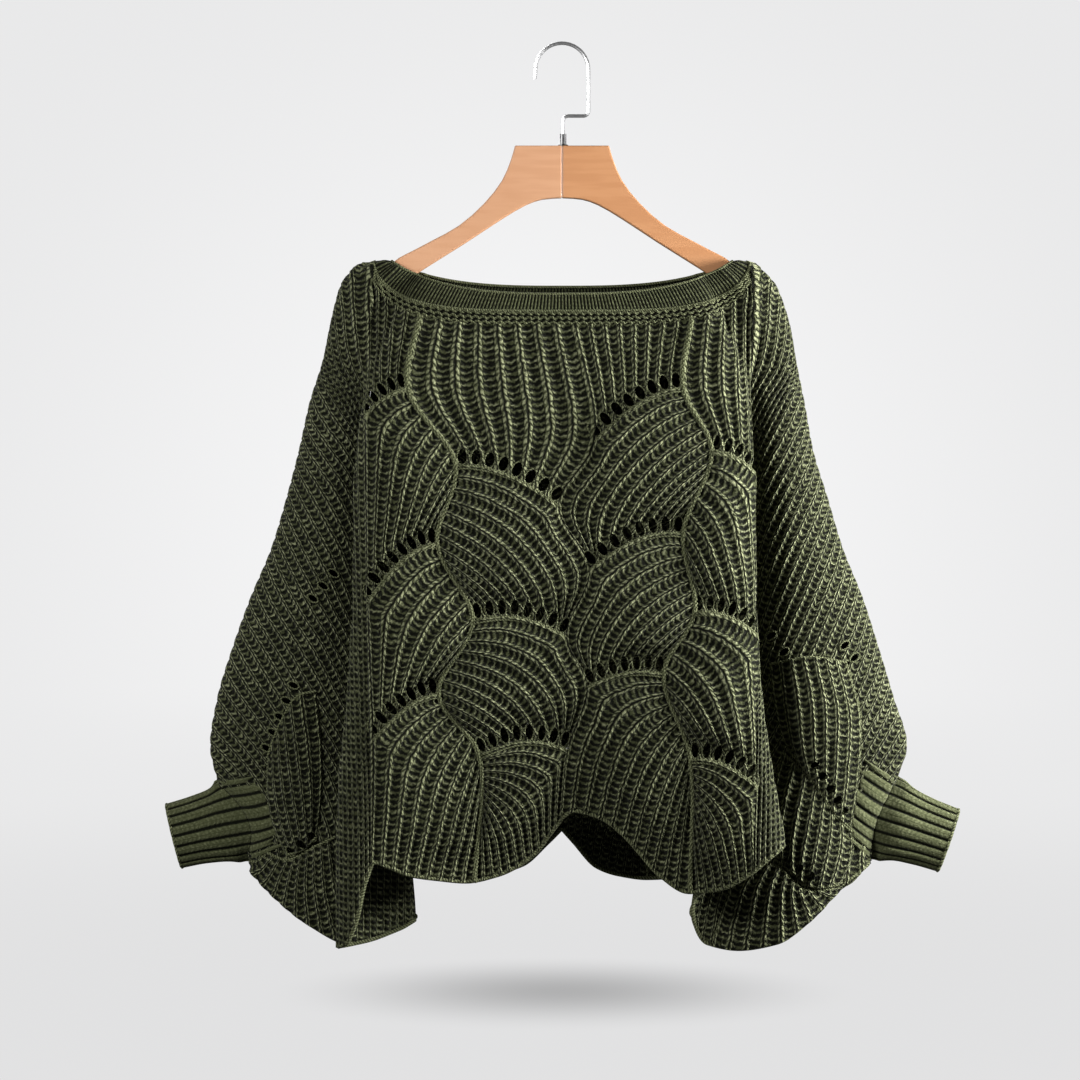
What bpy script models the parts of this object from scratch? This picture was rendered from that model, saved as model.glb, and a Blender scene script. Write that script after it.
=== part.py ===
"""Batwing sweater in chunky rib knit, hanging on a wooden hanger.

Front and back are each one knitted panel that takes in the body and both sleeves.
They meet at the shoulder and sleeve top and at the cuffs. The hem runs open and
scalloped from cuff to cuff. The origin is the point inside the hook's bend where a
rail holds it; +Z is up, -Y is the front and +X is the viewer's right.
Lengths below are in millimetres and "drop" is measured down from the origin.
"""

import math
from collections import namedtuple

import bmesh
import bpy
import numpy as np
from mathutils import Vector
from mathutils.geometry import delaunay_2d_cdt

MM = 0.001
LEFT, RIGHT = -1, 1
FRONT, BACK = -1, 1

# ---- driving sizes -------------------------------------------------------------
WALL = 2.6              # thickness of the knitted cloth between its ribs
SEAM_GAP = 0.3          # between two pieces that are sewn together
RIB_RISE = 1.1          # how far a rib stands out of the wall
SHELL_RISE = 3.0        # how far a shell stands out under its row of eyelets
SHELL_FADE = 60.0       # over what depth that swelling dies away
COLUMN = 14.4           # real pitch of the ribs; every second one is raised here
COLUMN_STEP = 66.0      # between the points of one column
FOLD_STEP = 42.0        # the same where the cloth folds between body and sleeve
STRETCH = 2.6

NECK_CORNER = 172.0     # half width of the boat neck at its open edge
YOKE_CORNER = 190.0     # half width at the lower edge of the neckband
SHOULDER_DROP = 219.0   # the shoulder line, where the cloth lies on the hanger
FRONT_NECK_DROP = 251.0
BACK_NECK_DROP = 241.0
BAND_HEIGHT = 17.0
BACK_DEPTH = 0.72       # how deep the back hangs compared with the front

CUFF_OPEN = 16.0        # how far the sleeve's end is let in at the cuff, so that it stays open
RIB_SWEEP = 2.2         # how soon a sleeve rib turns from slanting to hanging straight

# ---- horizontal sections through the hanging sweater ----------------------------
# outer: half width to the sleeve's outer fold.  edge: half width of the body's front.
# valley: where the cloth between body and sleeve turns.  centre, front, valley_depth
# and sleeve: how far the cloth stands forward at those places.  turn: fold radius.
Section = namedtuple(
    "Section",
    "drop outer_l outer_r edge_l edge_r valley_l valley_r centre front valley_depth sleeve turn",
)
SECTIONS = [
    Section(217, 172, 172, 118, 118, 150, 150, 20, 14, 11.0, 9.0, 2),
    Section(219, 190, 190, 124, 124, 158, 158, 21, 15, 12.0, 10.0, 2),
    Section(224, 206, 195, 130, 128, 168, 163, 22, 17, 13.5, 11.5, 2),
    Section(230, 210, 200, 138, 134, 176, 168, 24, 19, 15.0, 13.0, 3),
    Section(239, 217, 209, 146, 142, 186, 178, 27, 23, 18.0, 15.0, 3),
    Section(254, 222, 216, 154, 150, 195, 189, 31, 28, 21.0, 17.0, 4),
    Section(284, 229, 225, 170, 163, 201, 195, 38, 36, 25.0, 20.0, 6),
    Section(314, 235, 230, 182, 174, 200, 192, 45, 44, 25.0, 22.0, 8),
    Section(359, 249, 239, 193, 182, 194, 185, 53, 54, 22.5, 24.0, 10),
    Section(404, 259, 247, 200, 185, 187, 178, 60, 61, 19.5, 26.0, 12),
    Section(454, 272, 262, 203, 186, 180, 171, 66, 67, 16.5, 28.0, 13),
    Section(504, 287, 277, 203, 187, 174, 165, 70, 71, 14.5, 30.0, 14),
    Section(554, 308, 297, 203, 188, 169, 160, 72, 75, 13.5, 32.0, 15),
    Section(604, 326, 313, 206, 190, 164, 155, 72, 78, 13.0, 33.0, 15),
    Section(654, 341, 328, 209, 194, 160, 151, 69, 80, 12.5, 33.0, 15),
    Section(700, 348, 341, 214, 200, 156, 146, 64, 81, 12.0, 31.0, 15),
    Section(730, 342, 332, 217, 205, 154, 143, 60, 82, 12.0, 29.0, 15),
    Section(815, 309, 305, 219, 219, 149, 134, 52, 83, 12.0, 27.0, 15),
    Section(860, 306, 302, 219, 222, 146, 129, 50, 83, 12.0, 27.0, 15),
    Section(909, 304, 300, 219, 224, 144, 126, 50, 83, 12.0, 27.0, 15),
]
CUFF_TOP = {LEFT: 732.0, RIGHT: 729.0}
CUFF_BOTTOM = {LEFT: 816.0, RIGHT: 814.0}

# ---- the scalloped hem: where it hangs, by distance along the cloth from the centre ----
Hem = namedtuple("Hem", "along drop")
FRONT_HEM = {
    RIGHT: [Hem(0, 770), Hem(12, 763), Hem(37, 769), Hem(57, 782), Hem(77, 803), Hem(97, 825),
            Hem(127, 842), Hem(157, 839), Hem(187, 824), Hem(212, 804), Hem(232, 795),
            Hem(262, 808), Hem(305, 836), Hem(338, 852), Hem(350, 876), Hem(370, 898),
            Hem(401, 903), Hem(440, 896), Hem(470, 872), Hem(492, 842), Hem(520, 814)],
    LEFT: [Hem(0, 770), Hem(12, 786), Hem(25, 803), Hem(43, 817), Hem(63, 826), Hem(93, 832),
           Hem(123, 829), Hem(148, 825), Hem(168, 817), Hem(182, 812), Hem(191, 832),
           Hem(200, 872), Hem(210, 892), Hem(224, 896), Hem(250, 893), Hem(290, 882),
           Hem(318, 873), Hem(345, 885), Hem(383, 896), Hem(418, 879), Hem(453, 849),
           Hem(480, 816)],
}
BACK_HEM = {
    RIGHT: [Hem(0, 787), Hem(12, 800), Hem(37, 826), Hem(60, 834), Hem(90, 838), Hem(130, 836),
            Hem(175, 818), Hem(220, 799), Hem(262, 810), Hem(310, 838), Hem(350, 876),
            Hem(401, 896), Hem(440, 889), Hem(470, 867), Hem(492, 840), Hem(520, 814)],
    LEFT: [Hem(0, 787), Hem(14, 801), Hem(40, 824), Hem(64, 831), Hem(95, 833), Hem(135, 829),
           Hem(182, 809), Hem(212, 812), Hem(250, 838), Hem(290, 868), Hem(345, 883),
           Hem(383, 889), Hem(418, 873), Hem(453, 846), Hem(480, 816)],
}

# ---- eyelet rows: each is the top of one shell -----------------------------------
# Across is the place in the flat cloth, down is below the shoulder line or, on a sleeve,
# below the sleeve's top edge.  bow lifts the middle of the row.
Row = namedtuple("Row", "spine_across spine_down valley_across valley_down bow holes")
ROWS = [
    Row(-153, 127, -192, 153, 2, 5), Row(-123, 280, -190, 336, 6, 8), Row(-122, 427, -186, 471, 4, 7),
    Row(-105, 203, -4, 242, 6, 9), Row(-88, 355, 4, 370, 9, 8), Row(-83, 487, 6, 481, 12, 9),
    Row(119, 127, 32, 179, 5, 8), Row(119, 270, 27, 305, 8, 8), Row(100, 407, 25, 419, 6, 7),
    Row(147, 189, 192, 213, 3, 5), Row(130, 347, 196, 374, 6, 7), Row(127, 491, 196, 521, 6, 7),
    Row(536, 67, 580, 80, 2, 3), Row(436, 154, 466, 140, 2, 2), Row(552, 155, 668, 104, 4, 5),
    Row(584, 253, 668, 188, 4, 5), Row(-424, 102, -468, 84, 2, 3), Row(-540, 103, -616, 80, 3, 5),
    Row(-634, 180, -680, 153, 2, 3),
]
HOLE_WIDE, HOLE_TALL = 6.6, 11.0

# ---- cuffs ------------------------------------------------------------------------
CUFF_RIBS = 18
CUFF_WALL = 2.4
CUFF_RIB_RISE = 1.3
# along: share of the cuff's length.  half_tall, half_deep: of its oval ring.
CuffRing = namedtuple("CuffRing", "along half_tall half_deep")
CUFF_RINGS = [CuffRing(0.34, 35.0, 15.5), CuffRing(0.64, 31.5, 13.5), CuffRing(1.0, 30.0, 12.0)]
CUFF_LENGTH = {LEFT: 70.0, RIGHT: 73.0}
CUFF_DROOP = {LEFT: 14.0, RIGHT: 19.0}   # degrees below level

# ---- hanger -----------------------------------------------------------------------
WOOD_THICK = 11.0
WOOD_TOP_DROP = 101.0
WIRE = 3.6
Outline = namedtuple("Outline", "across drop")
ARM_TOP = [Outline(47, 101), Outline(51, 115), Outline(60, 136), Outline(78, 159), Outline(103, 181),
           Outline(130, 196), Outline(150, 206.5), Outline(163, 213.2), Outline(169, 217.8),
           Outline(177, 221.0), Outline(181.5, 225.6), Outline(184.5, 233)]
ARM_BOTTOM = [Outline(186, 242), Outline(184.5, 248.5), Outline(179, 250.5), Outline(164, 241.2),
              Outline(138, 224), Outline(95, 197), Outline(60, 174), Outline(36, 160),
              Outline(20, 154.5), Outline(0.15, 153)]


# =============================== small curve helpers ===============================
def smooth(xs, ys, x):
    """Cubic curve through the points (xs, ys), without overshoot, read at x."""
    xs, ys, x = np.asarray(xs, float), np.asarray(ys, float), np.asarray(x, float)
    step = np.diff(xs)
    slope = np.diff(ys) / step
    tangent = np.zeros(len(xs))
    tangent[0], tangent[-1] = slope[0], slope[-1]
    for i in range(1, len(xs) - 1):
        if slope[i - 1] * slope[i] > 0:
            tangent[i] = 2 * slope[i - 1] * slope[i] / (slope[i - 1] + slope[i])
    x = np.clip(x, xs[0], xs[-1])
    i = np.clip(np.searchsorted(xs, x, side="right") - 1, 0, len(step) - 1)
    t = (x - xs[i]) / step[i]
    return ((2 * t**3 - 3 * t**2 + 1) * ys[i] + (t**3 - 2 * t**2 + t) * step[i] * tangent[i]
            + (3 * t**2 - 2 * t**3) * ys[i + 1] + (t**3 - t**2) * step[i] * tangent[i + 1])


def through(points, samples):
    """Centripetal curve through the control points, as an array of points."""
    p = np.asarray(points, float)
    p = np.vstack([2 * p[0] - p[1], p, 2 * p[-1] - p[-2]])
    knots = np.concatenate([[0], np.cumsum(np.linalg.norm(np.diff(p, axis=0), axis=1) ** 0.5)])
    made = []
    for i in range(1, len(p) - 2):
        k0, k1, k2, k3 = knots[i - 1:i + 3]
        t = np.linspace(k1, k2, samples, endpoint=False)[:, None]
        a1 = (k1 - t) / (k1 - k0) * p[i - 1] + (t - k0) / (k1 - k0) * p[i]
        a2 = (k2 - t) / (k2 - k1) * p[i] + (t - k1) / (k2 - k1) * p[i + 1]
        a3 = (k3 - t) / (k3 - k2) * p[i + 1] + (t - k2) / (k3 - k2) * p[i + 2]
        b1 = (k2 - t) / (k2 - k0) * a1 + (t - k0) / (k2 - k0) * a2
        b2 = (k3 - t) / (k3 - k1) * a2 + (t - k1) / (k3 - k1) * a3
        made.append((k2 - t) / (k2 - k1) * b1 + (t - k1) / (k2 - k1) * b2)
    return np.vstack([*made, p[-2][None]])


# =============================== the hanging cloth =================================
class Drape:
    """Half of one panel, from the centre line to the sleeve's outer fold, as it hangs."""

    LEVEL_STEP = 4.0
    SAMPLES = 10

    def __init__(self, side, face):
        self.side, self.face = side, face
        self.deep = 1.0 if face == FRONT else BACK_DEPTH
        drops = self.drops = [s.drop for s in SECTIONS]
        suffix = "_l" if side == LEFT else "_r"
        self.column = {
            name: [getattr(s, name + suffix if name in ("outer", "edge", "valley") else name)
                   for s in SECTIONS]
            for name in ("outer", "edge", "valley", "centre", "front", "valley_depth", "sleeve", "turn")
        }
        self.levels = np.arange(drops[0], drops[-1] + self.LEVEL_STEP, self.LEVEL_STEP)
        lines = [self.section(drop) for drop in self.levels]
        self.arcs = [np.concatenate([[0], np.cumsum(np.linalg.norm(np.diff(l, axis=0), axis=1))])
                     for l in lines]
        self.lines = lines
        self.lengths = np.array([a[-1] for a in self.arcs])
        # the seventh control point is the valley
        self.valley_arcs = np.array([a[6 * self.SAMPLES] for a in self.arcs])
        self.hem = (FRONT_HEM if face == FRONT else BACK_HEM)[side]
        self.cuff_along = self.length(CUFF_BOTTOM[side])
        self.set_sleeve_top()
        self.set_rib_lengths()

    @staticmethod
    def folded(edge, valley):
        """0 where body and sleeve are one plain sweep of cloth, 1 where a fold parts them."""
        share = min(1.0, max(0.0, (edge - valley + 8.0) / 40.0))
        return share * share * (3 - 2 * share)

    def section(self, drop):
        """Half section at that drop, as (half width, depth) points from centre to outer fold."""
        c = {name: float(smooth([s.drop for s in SECTIONS], values, drop))
             for name, values in self.column.items()}
        front, centre = c["front"] * self.deep, c["centre"] * self.deep
        turn, width = c["turn"] * self.deep, c["outer"] - c["valley"]
        lip = 7.2 + 0.05 * (c["sleeve"] - 9.0)
        low = min(c["valley_depth"], front)
        fold = self.folded(c["edge"], c["valley"])
        open_ = 1.0 - fold
        points = [
            (0.0, centre),
            (0.5 * c["edge"], 0.5 * (centre + front) + 2.0),
            (c["edge"] - turn, front),
            (c["edge"], front - turn),
            (0.55 * c["valley"] + 0.45 * c["edge"], 0.42 * (front - turn) + 0.58 * (low + 16.0 * fold)),
            (c["valley"] + 8.0 * fold - 4.0 * open_, low + 16.0 * fold + 2.0 * open_),
            (c["valley"], low + 6.5 * fold),
            (c["valley"] + 9.0 * fold + 5.0 * open_, low - 1.5 * fold - open_),
            (c["valley"] + 0.52 * width, c["sleeve"]),
            (c["valley"] + 0.84 * width, 0.66 * c["sleeve"] + 2.0),
            (c["outer"] - 1.2, lip),
            (c["outer"], 0.5 * SEAM_GAP),
        ]
        return through(points, self.SAMPLES)

    def length(self, drop):
        """Length of the half section at that drop."""
        return np.interp(drop, self.levels, self.lengths)

    def at(self, along, drop):
        """Point of the cloth at that distance along the half section, in millimetres."""
        place = np.clip((drop - self.levels[0]) / self.LEVEL_STEP, 0, len(self.levels) - 1.001)
        low = int(place)
        share = place - low
        ends = []
        for i in (low, low + 1):
            # read the section by its share of length where the cloth nears its outer fold
            reach = along * 1.0
            near = np.clip((along - 0.5 * self.length(drop)) / (0.5 * self.length(drop)), 0, 1)
            reach += near * (self.lengths[i] - self.length(drop))
            ends.append([np.interp(reach, self.arcs[i], self.lines[i][:, k]) for k in (0, 1)])
        across, deep = (1 - share) * np.array(ends[0]) + share * np.array(ends[1])
        return Vector((self.side * across, self.face * deep, -drop))

    def set_sleeve_top(self):
        """Drop of the sleeve's top edge, by distance along it from the neckband's corner."""
        start = np.interp(YOKE_CORNER, self.column["outer"][:3], [s.drop for s in SECTIONS[:3]])
        drops = np.arange(start, CUFF_TOP[self.side] + 1.0, 1.0)
        outer = smooth([s.drop for s in SECTIONS], self.column["outer"], drops)
        run = np.concatenate([[0], np.cumsum(np.hypot(np.diff(outer), np.diff(drops)))])
        self.top_run, self.top_drops = run + YOKE_CORNER, drops
        self.reach = float(self.top_run[-1])      # the cuff's place in the flat cloth

    def hem_drop(self, along):
        scale = self.hem[-1].along / self.cuff_along
        return float(smooth([h.along for h in self.hem], [h.drop for h in self.hem], along * scale))

    def line(self, across):
        """(start along, start drop, end along, end drop, how far along the sleeve) of a rib."""
        if across <= YOKE_CORNER:
            top = self.yoke_drop(across)
            return across, top, across, self.hem_drop(across), 0.0
        share = min(1.0, (across - YOKE_CORNER) / (self.reach - YOKE_CORNER))
        top = float(np.interp(across, self.top_run, self.top_drops))
        end = YOKE_CORNER + (self.cuff_along - YOKE_CORNER) * (0.35 * share + 0.65 * share**1.6)
        return float(self.length(top)), top, end, self.hem_drop(end), share

    def yoke_drop(self, across):
        """Lower edge of the neckband, where the panel starts."""
        low = (FRONT_NECK_DROP if self.face == FRONT else BACK_NECK_DROP) + BAND_HEIGHT
        share = max(0.0, 1 - (across / YOKE_CORNER) ** 4) ** 0.55
        return SHOULDER_DROP + (low - SHOULDER_DROP) * share

    def neck_drop(self, across):
        """The neckband's open edge."""
        low = FRONT_NECK_DROP if self.face == FRONT else BACK_NECK_DROP
        share = max(0.0, 1 - (across / NECK_CORNER) ** 2.9) ** 0.9
        return SECTIONS[0].drop + (low - SECTIONS[0].drop) * share

    def on_rib(self, across, share):
        """(along, drop) on the rib that starts at that place of the top edge; share runs from 0 to 1."""
        a0, d0, a1, d1, sleeve = self.line(across)
        along = a1 + (a0 - a1) * (1 - share) ** RIB_SWEEP
        along -= CUFF_OPEN * math.sin(math.pi * share) * sleeve**4
        return along, d0 + (d1 - d0) * share

    def set_rib_lengths(self):
        self.rib_places = np.arange(0.0, self.reach + 10.0, 10.0)
        steps = np.linspace(0, 1, 15)
        self.rib_lengths = []
        for across in self.rib_places:
            line = [self.at(*self.on_rib(min(across, self.reach), t)) for t in steps]
            self.rib_lengths.append(sum((b - a).length for a, b in zip(line, line[1:])))

    def span(self, across):
        """(top, bottom) of the flat cloth at that place, below the shoulder line."""
        if across <= YOKE_CORNER:
            return self.yoke_drop(across) - SHOULDER_DROP, self.hem_drop(across) - SHOULDER_DROP
        end = self.hem_drop(YOKE_CORNER) - SHOULDER_DROP
        ratio = end / np.interp(YOKE_CORNER, self.rib_places, self.rib_lengths)
        fade = min(1.0, (across - YOKE_CORNER) / 60.0)
        length = float(np.interp(across, self.rib_places, self.rib_lengths))
        return 0.0, length * (ratio + (1 - ratio) * fade)

    def flat(self, across, down):
        """(along, drop) for a place in the flat, unhung cloth."""
        top, bottom = self.span(across)
        return self.on_rib(across, min(1.0, max(0.0, (down - top) / (bottom - top))))

    def unhung(self, along, drop):
        """Place in the flat cloth of a point of the hanging cloth."""
        low, high = 0.0, float(np.interp(drop, self.top_drops, self.top_run, left=NECK_CORNER))
        for _ in range(24):
            middle = 0.5 * (low + high)
            _, top, _, bottom, _ = self.line(middle)
            share = min(1.0, max(0.0, (drop - top) / (bottom - top)))
            low, high = (middle, high) if self.on_rib(middle, share)[0] < along else (low, middle)
        top, bottom = self.span(low)
        return low, top + (bottom - top) * share

    def valley_arc(self, drop):
        return float(np.interp(drop, self.levels, self.valley_arcs))

    def fold_at(self, drop):
        return self.folded(np.interp(drop, self.drops, self.column["edge"]),
                           np.interp(drop, self.drops, self.column["valley"]))

    def outward(self, along, drop, step=1.6):
        """Unit normal of the cloth there, away from the wearer."""
        along = min(max(along, step), self.length(drop) - step)
        across = self.at(along + step, drop) - self.at(along - step, drop)
        down = self.at(along, drop + step) - self.at(along, drop - step)
        normal = across.cross(down) * self.side * self.face
        normal.y = self.face * max(0.0, self.face * normal.y)
        return normal.normalized()

    def in_valley(self, along, drop):
        """1 in the turn between body and sleeve, fading to 0 about 20 mm away."""
        apart = (along - self.valley_arc(drop)) / 16.0
        return self.fold_at(drop) * math.exp(-apart * apart)


DRAPES = {(side, face): Drape(side, face) for side in (LEFT, RIGHT) for face in (FRONT, BACK)}


def drape_at(across, face):
    return DRAPES[(LEFT if across < 0 else RIGHT, face)]


def cuff_axis(side):
    turn = math.radians(CUFF_DROOP[side])
    return Vector((side * math.cos(turn), 0.0, -math.sin(turn)))


def hang(face, across, down):
    """(across along the hanging cloth, drop) for a place in the flat cloth."""
    along, drop = drape_at(across, face).flat(abs(across), down)
    return math.copysign(along, across), drop


def cloth(face, across, down):
    """(point, outward normal) of the hanging cloth for a place in the flat cloth."""
    drape = drape_at(across, face)
    along, drop = drape.flat(abs(across), down)
    normal = drape.outward(along, drop)
    if abs(across) > drape.reach - 0.1:
        # at the cuff's seam the wall's edge leans over towards the cuff's own
        axis = cuff_axis(drape.side)
        corners = [drape.at(*drape.flat(drape.reach, end)) for end in drape.span(drape.reach)]
        spoke = drape.at(along, drop) - (corners[0] + corners[1]) / 2
        spoke -= axis * spoke.dot(axis)
        normal = (0.5 * normal + 0.5 * spoke.normalized()).normalized()
    if abs(across) < 1.0:
        normal.x = 0.0
        normal.normalize()
    return drape.at(along, drop), normal


# =============================== eyelets and relief ================================
def row_point(row, share):
    """Place in the flat cloth along an eyelet row, from spine (0) to valley (1)."""
    across = row.spine_across + (row.valley_across - row.spine_across) * share
    down = row.spine_down + (row.valley_down - row.spine_down) * share**1.4
    return across, down - row.bow * math.sin(math.pi * share)


def rows_of(face):
    """The back is the same knitted piece as the front, so it is turned left for right."""
    if face == FRONT:
        return ROWS
    return [r._replace(spine_across=-r.spine_across, valley_across=-r.valley_across) for r in ROWS]


def eyelet(row, n):
    """Outline of hole n of a row, as points of the flat cloth."""
    share = (n + 0.5) / row.holes
    across, down = row_point(row, share)
    lean = math.radians(34) * share * (1 if row.valley_across > row.spine_across else -1)
    wide = HOLE_WIDE * (1.5 if abs(across) > 300 else 1.0)
    corners = []
    for x, y in ((-0.5, -0.4), (0.5, -0.4), (0.5, 0.4), (-0.5, 0.4)):
        x, y = x * wide, y * HOLE_TALL
        corners.append((across + x * math.cos(lean) - y * math.sin(lean),
                        down - 0.5 * HOLE_TALL + x * math.sin(lean) + y * math.cos(lean)))
    return corners


def relief(face, across, down):
    """How far the cloth's outer side stands above the plain wall."""
    drape = drape_at(across, face)
    clear = min(1.0, max(0.0, (drape.reach - abs(across)) / 30.0))
    clear *= 1.0 - drape.in_valley(*drape.flat(abs(across), down))
    rise = RIB_RISE * (0.5 + 0.5 * math.cos(math.pi * across / COLUMN))
    for row in rows_of(face):
        low, high = sorted((row.spine_across, row.valley_across))
        if not low - 6 <= across <= high + 6:
            continue
        share = (across - row.spine_across) / (row.valley_across - row.spine_across)
        below = down - row_point(row, min(1.0, max(0.0, share)))[1]
        if -4.0 < below < SHELL_FADE:
            rise += SHELL_RISE * min(1.0, (below + 4.0) / 6.0) * (1 - max(0.0, below) / SHELL_FADE) ** 2
    return rise * clear


# =============================== building the meshes ===============================
def collection(name):
    made = bpy.data.collections.new(name)
    bpy.context.scene.collection.children.link(made)
    return made


def material(name, colour, roughness, metallic=0.0):
    made = bpy.data.materials.new(name)
    made.use_nodes = True
    shader = made.node_tree.nodes["Principled BSDF"]
    shader.inputs["Base Color"].default_value = (*colour, 1.0)
    shader.inputs["Roughness"].default_value = roughness
    shader.inputs["Metallic"].default_value = metallic
    return made


def add_object(name, bm, owner, finish, smooth_angle=40):
    """Object in metres from a bmesh that was modelled in millimetres."""
    bmesh.ops.scale(bm, vec=(MM, MM, MM), verts=bm.verts)
    mesh = bpy.data.meshes.new(name)
    bm.to_mesh(mesh)
    bm.free()
    mesh.shade_smooth()
    mesh.set_sharp_from_angle(angle=math.radians(smooth_angle))
    mesh.materials.append(finish)
    made = bpy.data.objects.new(name, mesh)
    owner.objects.link(made)
    return made


def walled(inside, outside, faces):
    """Closed cloth from its inner points, its outer points and faces that look outwards."""
    bm = bmesh.new()
    inner = [bm.verts.new(p) for p in inside]
    outer = [bm.verts.new(p) for p in outside]
    sides = {pair for corners in faces for pair in zip(corners, corners[1:] + corners[:1])}
    for corners in faces:
        bm.faces.new([outer[i] for i in corners])
        bm.faces.new([inner[i] for i in corners[::-1]])
    for a, b in sides:
        if (b, a) not in sides:
            bm.faces.new((outer[b], outer[a], inner[a], inner[b]))
    return bm


def end_share(k):
    """How far down the sleeve's open end its point k lies, from 0 to 1."""
    share = 2 * k / CUFF_RIBS
    return 0.4 * share + 0.6 * (0.5 - 0.5 * math.cos(math.pi * share))


def band_shares():
    """Where the neckband and the panels have points, as shares of the half width."""
    return [math.sin(0.5 * math.pi * t) for t in np.linspace(-1, 1, 31)]


def panel_outline(face):
    """Edge of the flat panel, clockwise from the left cuff's top corner."""
    left, right = DRAPES[(LEFT, face)], DRAPES[(RIGHT, face)]
    columns = np.arange(-int((left.reach - 8) / COLUMN), int((right.reach - 8) / COLUMN) + 1) * COLUMN
    columns = [-left.reach, *columns, right.reach]
    yoke = [YOKE_CORNER * share for share in band_shares()]
    sleeves = [a for a in columns if abs(a) > YOKE_CORNER + 6]
    top = [(a, drape_at(a, face).span(abs(a))[0]) for a in sorted(sleeves + yoke)]
    bottom = [(a, drape_at(a, face).span(abs(a))[1]) for a in columns[::-1]]
    steps = range(1, CUFF_RIBS // 2)
    high, low = top[-1][1], bottom[0][1]
    right_end = [(right.reach, high + (low - high) * end_share(k)) for k in steps]
    high, low = top[0][1], bottom[-1][1]
    left_end = [(-left.reach, low + (high - low) * end_share(k)) for k in steps]
    return top + right_end + bottom + left_end


class Filling:
    """Points of the hanging cloth, (across, drop), kept clear of each other."""

    def __init__(self, face, points):
        self.face, self.points, self.flat, self.edges = face, list(points), [None] * len(points), []

    def add(self, across, drop, flat=None, apart=9.0):
        """Adds the point and gives its number, or None where it's too near another."""
        known = np.array(self.points)
        if np.hypot((known[:, 0] - across) * 1.5, known[:, 1] - drop).min() < apart:
            return None
        self.points.append((across, drop))
        self.flat.append(flat)
        return len(self.points) - 1

    def body(self):
        """Columns on the ribs' crests and troughs."""
        most = int((YOKE_CORNER - 6) / COLUMN)
        for n in range(-most, most + 1):
            across = n * COLUMN
            top, bottom = drape_at(across, self.face).span(abs(across))
            steps = round((bottom - top) / COLUMN_STEP)
            for k in range(steps):
                down = top + (bottom - top) * (k + (0.5 if n % 2 else 1.0)) / steps
                if down < bottom - 6.0:
                    self.add(*hang(self.face, across, down), (across, down))

    def folds(self, side):
        """Columns that follow the turn between body and sleeve."""
        drape = DRAPES[(side, self.face)]
        hem = drape.hem_drop
        for n, offset in enumerate((0.0, -7.0, 7.0, -15.0, 15.0, -26.0, -39.0, -53.0, -68.0, -84.0, -100.0, -116.0)):
            drop = 345.0 + (FOLD_STEP / 2 if n % 2 else 0.0)
            while drop < 880.0:
                along = drape.valley_arc(drop) + offset * (0.4 + 0.6 * drape.fold_at(drop))
                if along > YOKE_CORNER + 5 and drop < hem(along) - 8.0:
                    self.add(side * along, drop, apart=6.5)
                drop += FOLD_STEP

    def sleeve(self, side, holes):
        """Ribs of the sleeve's outer part, each kept as a line of edges."""
        drape = DRAPES[(side, self.face)]
        n = int(YOKE_CORNER / COLUMN) + 1
        while n * COLUMN < drape.reach - 9.0:
            across, before = n * COLUMN, None
            bottom = drape.span(across)[1]
            steps = max(2, round(bottom / COLUMN_STEP))
            downs = [bottom * (k + (0.5 if n % 2 else 1.0)) / steps for k in range(steps)]
            for down in (12.0, 31.0, *[d for d in downs if 42.0 < d < bottom - 8.0]):
                along, drop = drape.flat(across, down)
                reach = YOKE_CORNER + (drape.valley_arc(drop) + 26.0 - YOKE_CORNER) * min(1.0, 4 * drape.fold_at(drop))
                made = self.add(side * along, drop, (side * across, down)) if along > reach else None
                if made and before:
                    ends = np.array([self.points[before], self.points[made]])
                    near = [np.hypot(*((ends[0] + (ends[1] - ends[0]) * t) - holes).T).min() for t in (0.2, 0.5, 0.8)]
                    if min(near) > 14.0:
                        self.edges.append((before, made))
                before = made
            n += 1


def panel(name, face, owner, finish):
    """One knitted panel with its eyelets cut through and its hem scalloped."""
    outline = panel_outline(face)
    flat = list(outline)
    edges = [(i, (i + 1) % len(outline)) for i in range(len(outline))]
    rings = []
    for row in rows_of(face):
        for n in range(row.holes):
            corners = eyelet(row, n)
            ring = list(range(len(flat), len(flat) + len(corners)))
            flat += corners
            edges += list(zip(ring, ring[1:] + ring[:1]))
            rings.append(ring)
    hung = [hang(face, *place) for place in flat]
    holes = np.array(hung[len(outline):])
    for row in rows_of(face):
        under = [(a, d + 4.0) for a, d in (row_point(row, k / row.holes) for k in range(row.holes + 1))]
        flat += under
        hung += [hang(face, *place) for place in under]
    filling = Filling(face, hung)
    filling.body()
    for side in (LEFT, RIGHT):
        filling.folds(side)
        filling.sleeve(side, holes)
    flat += filling.flat[len(flat):]
    # columns are kept together by working in a cloth that is stretched across
    verts, _, faces, sources, _, owners = delaunay_2d_cdt(
        [Vector((a * STRETCH, d)) for a, d in filling.points], edges + filling.edges,
        [list(range(len(outline)))] + rings, 1, 1e-4)
    kept = [corners[::face] for corners, found in zip(faces, owners) if found and max(found) == 0]
    used = sorted({i for corners in kept for i in corners})
    order = {old: new for new, old in enumerate(used)}
    inside, outside = [], []
    for i in used:
        place = next((flat[k] for k in sources[i] if flat[k]), None)
        if place is None:
            along, drop = verts[i].x / STRETCH, verts[i].y
            across, down = drape_at(along, face).unhung(abs(along), drop)
            place = (math.copysign(across, along), down)
            point = drape_at(along, face).at(abs(along), drop)
            normal = drape_at(along, face).outward(abs(along), drop)
        else:
            point, normal = cloth(face, *place)
        inside.append(point)
        outside.append(point + normal * (WALL + relief(face, *place)))
    bm = walled(inside, outside, [[order[i] for i in corners] for corners in kept])
    return add_object(name, bm, owner, finish)


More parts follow.
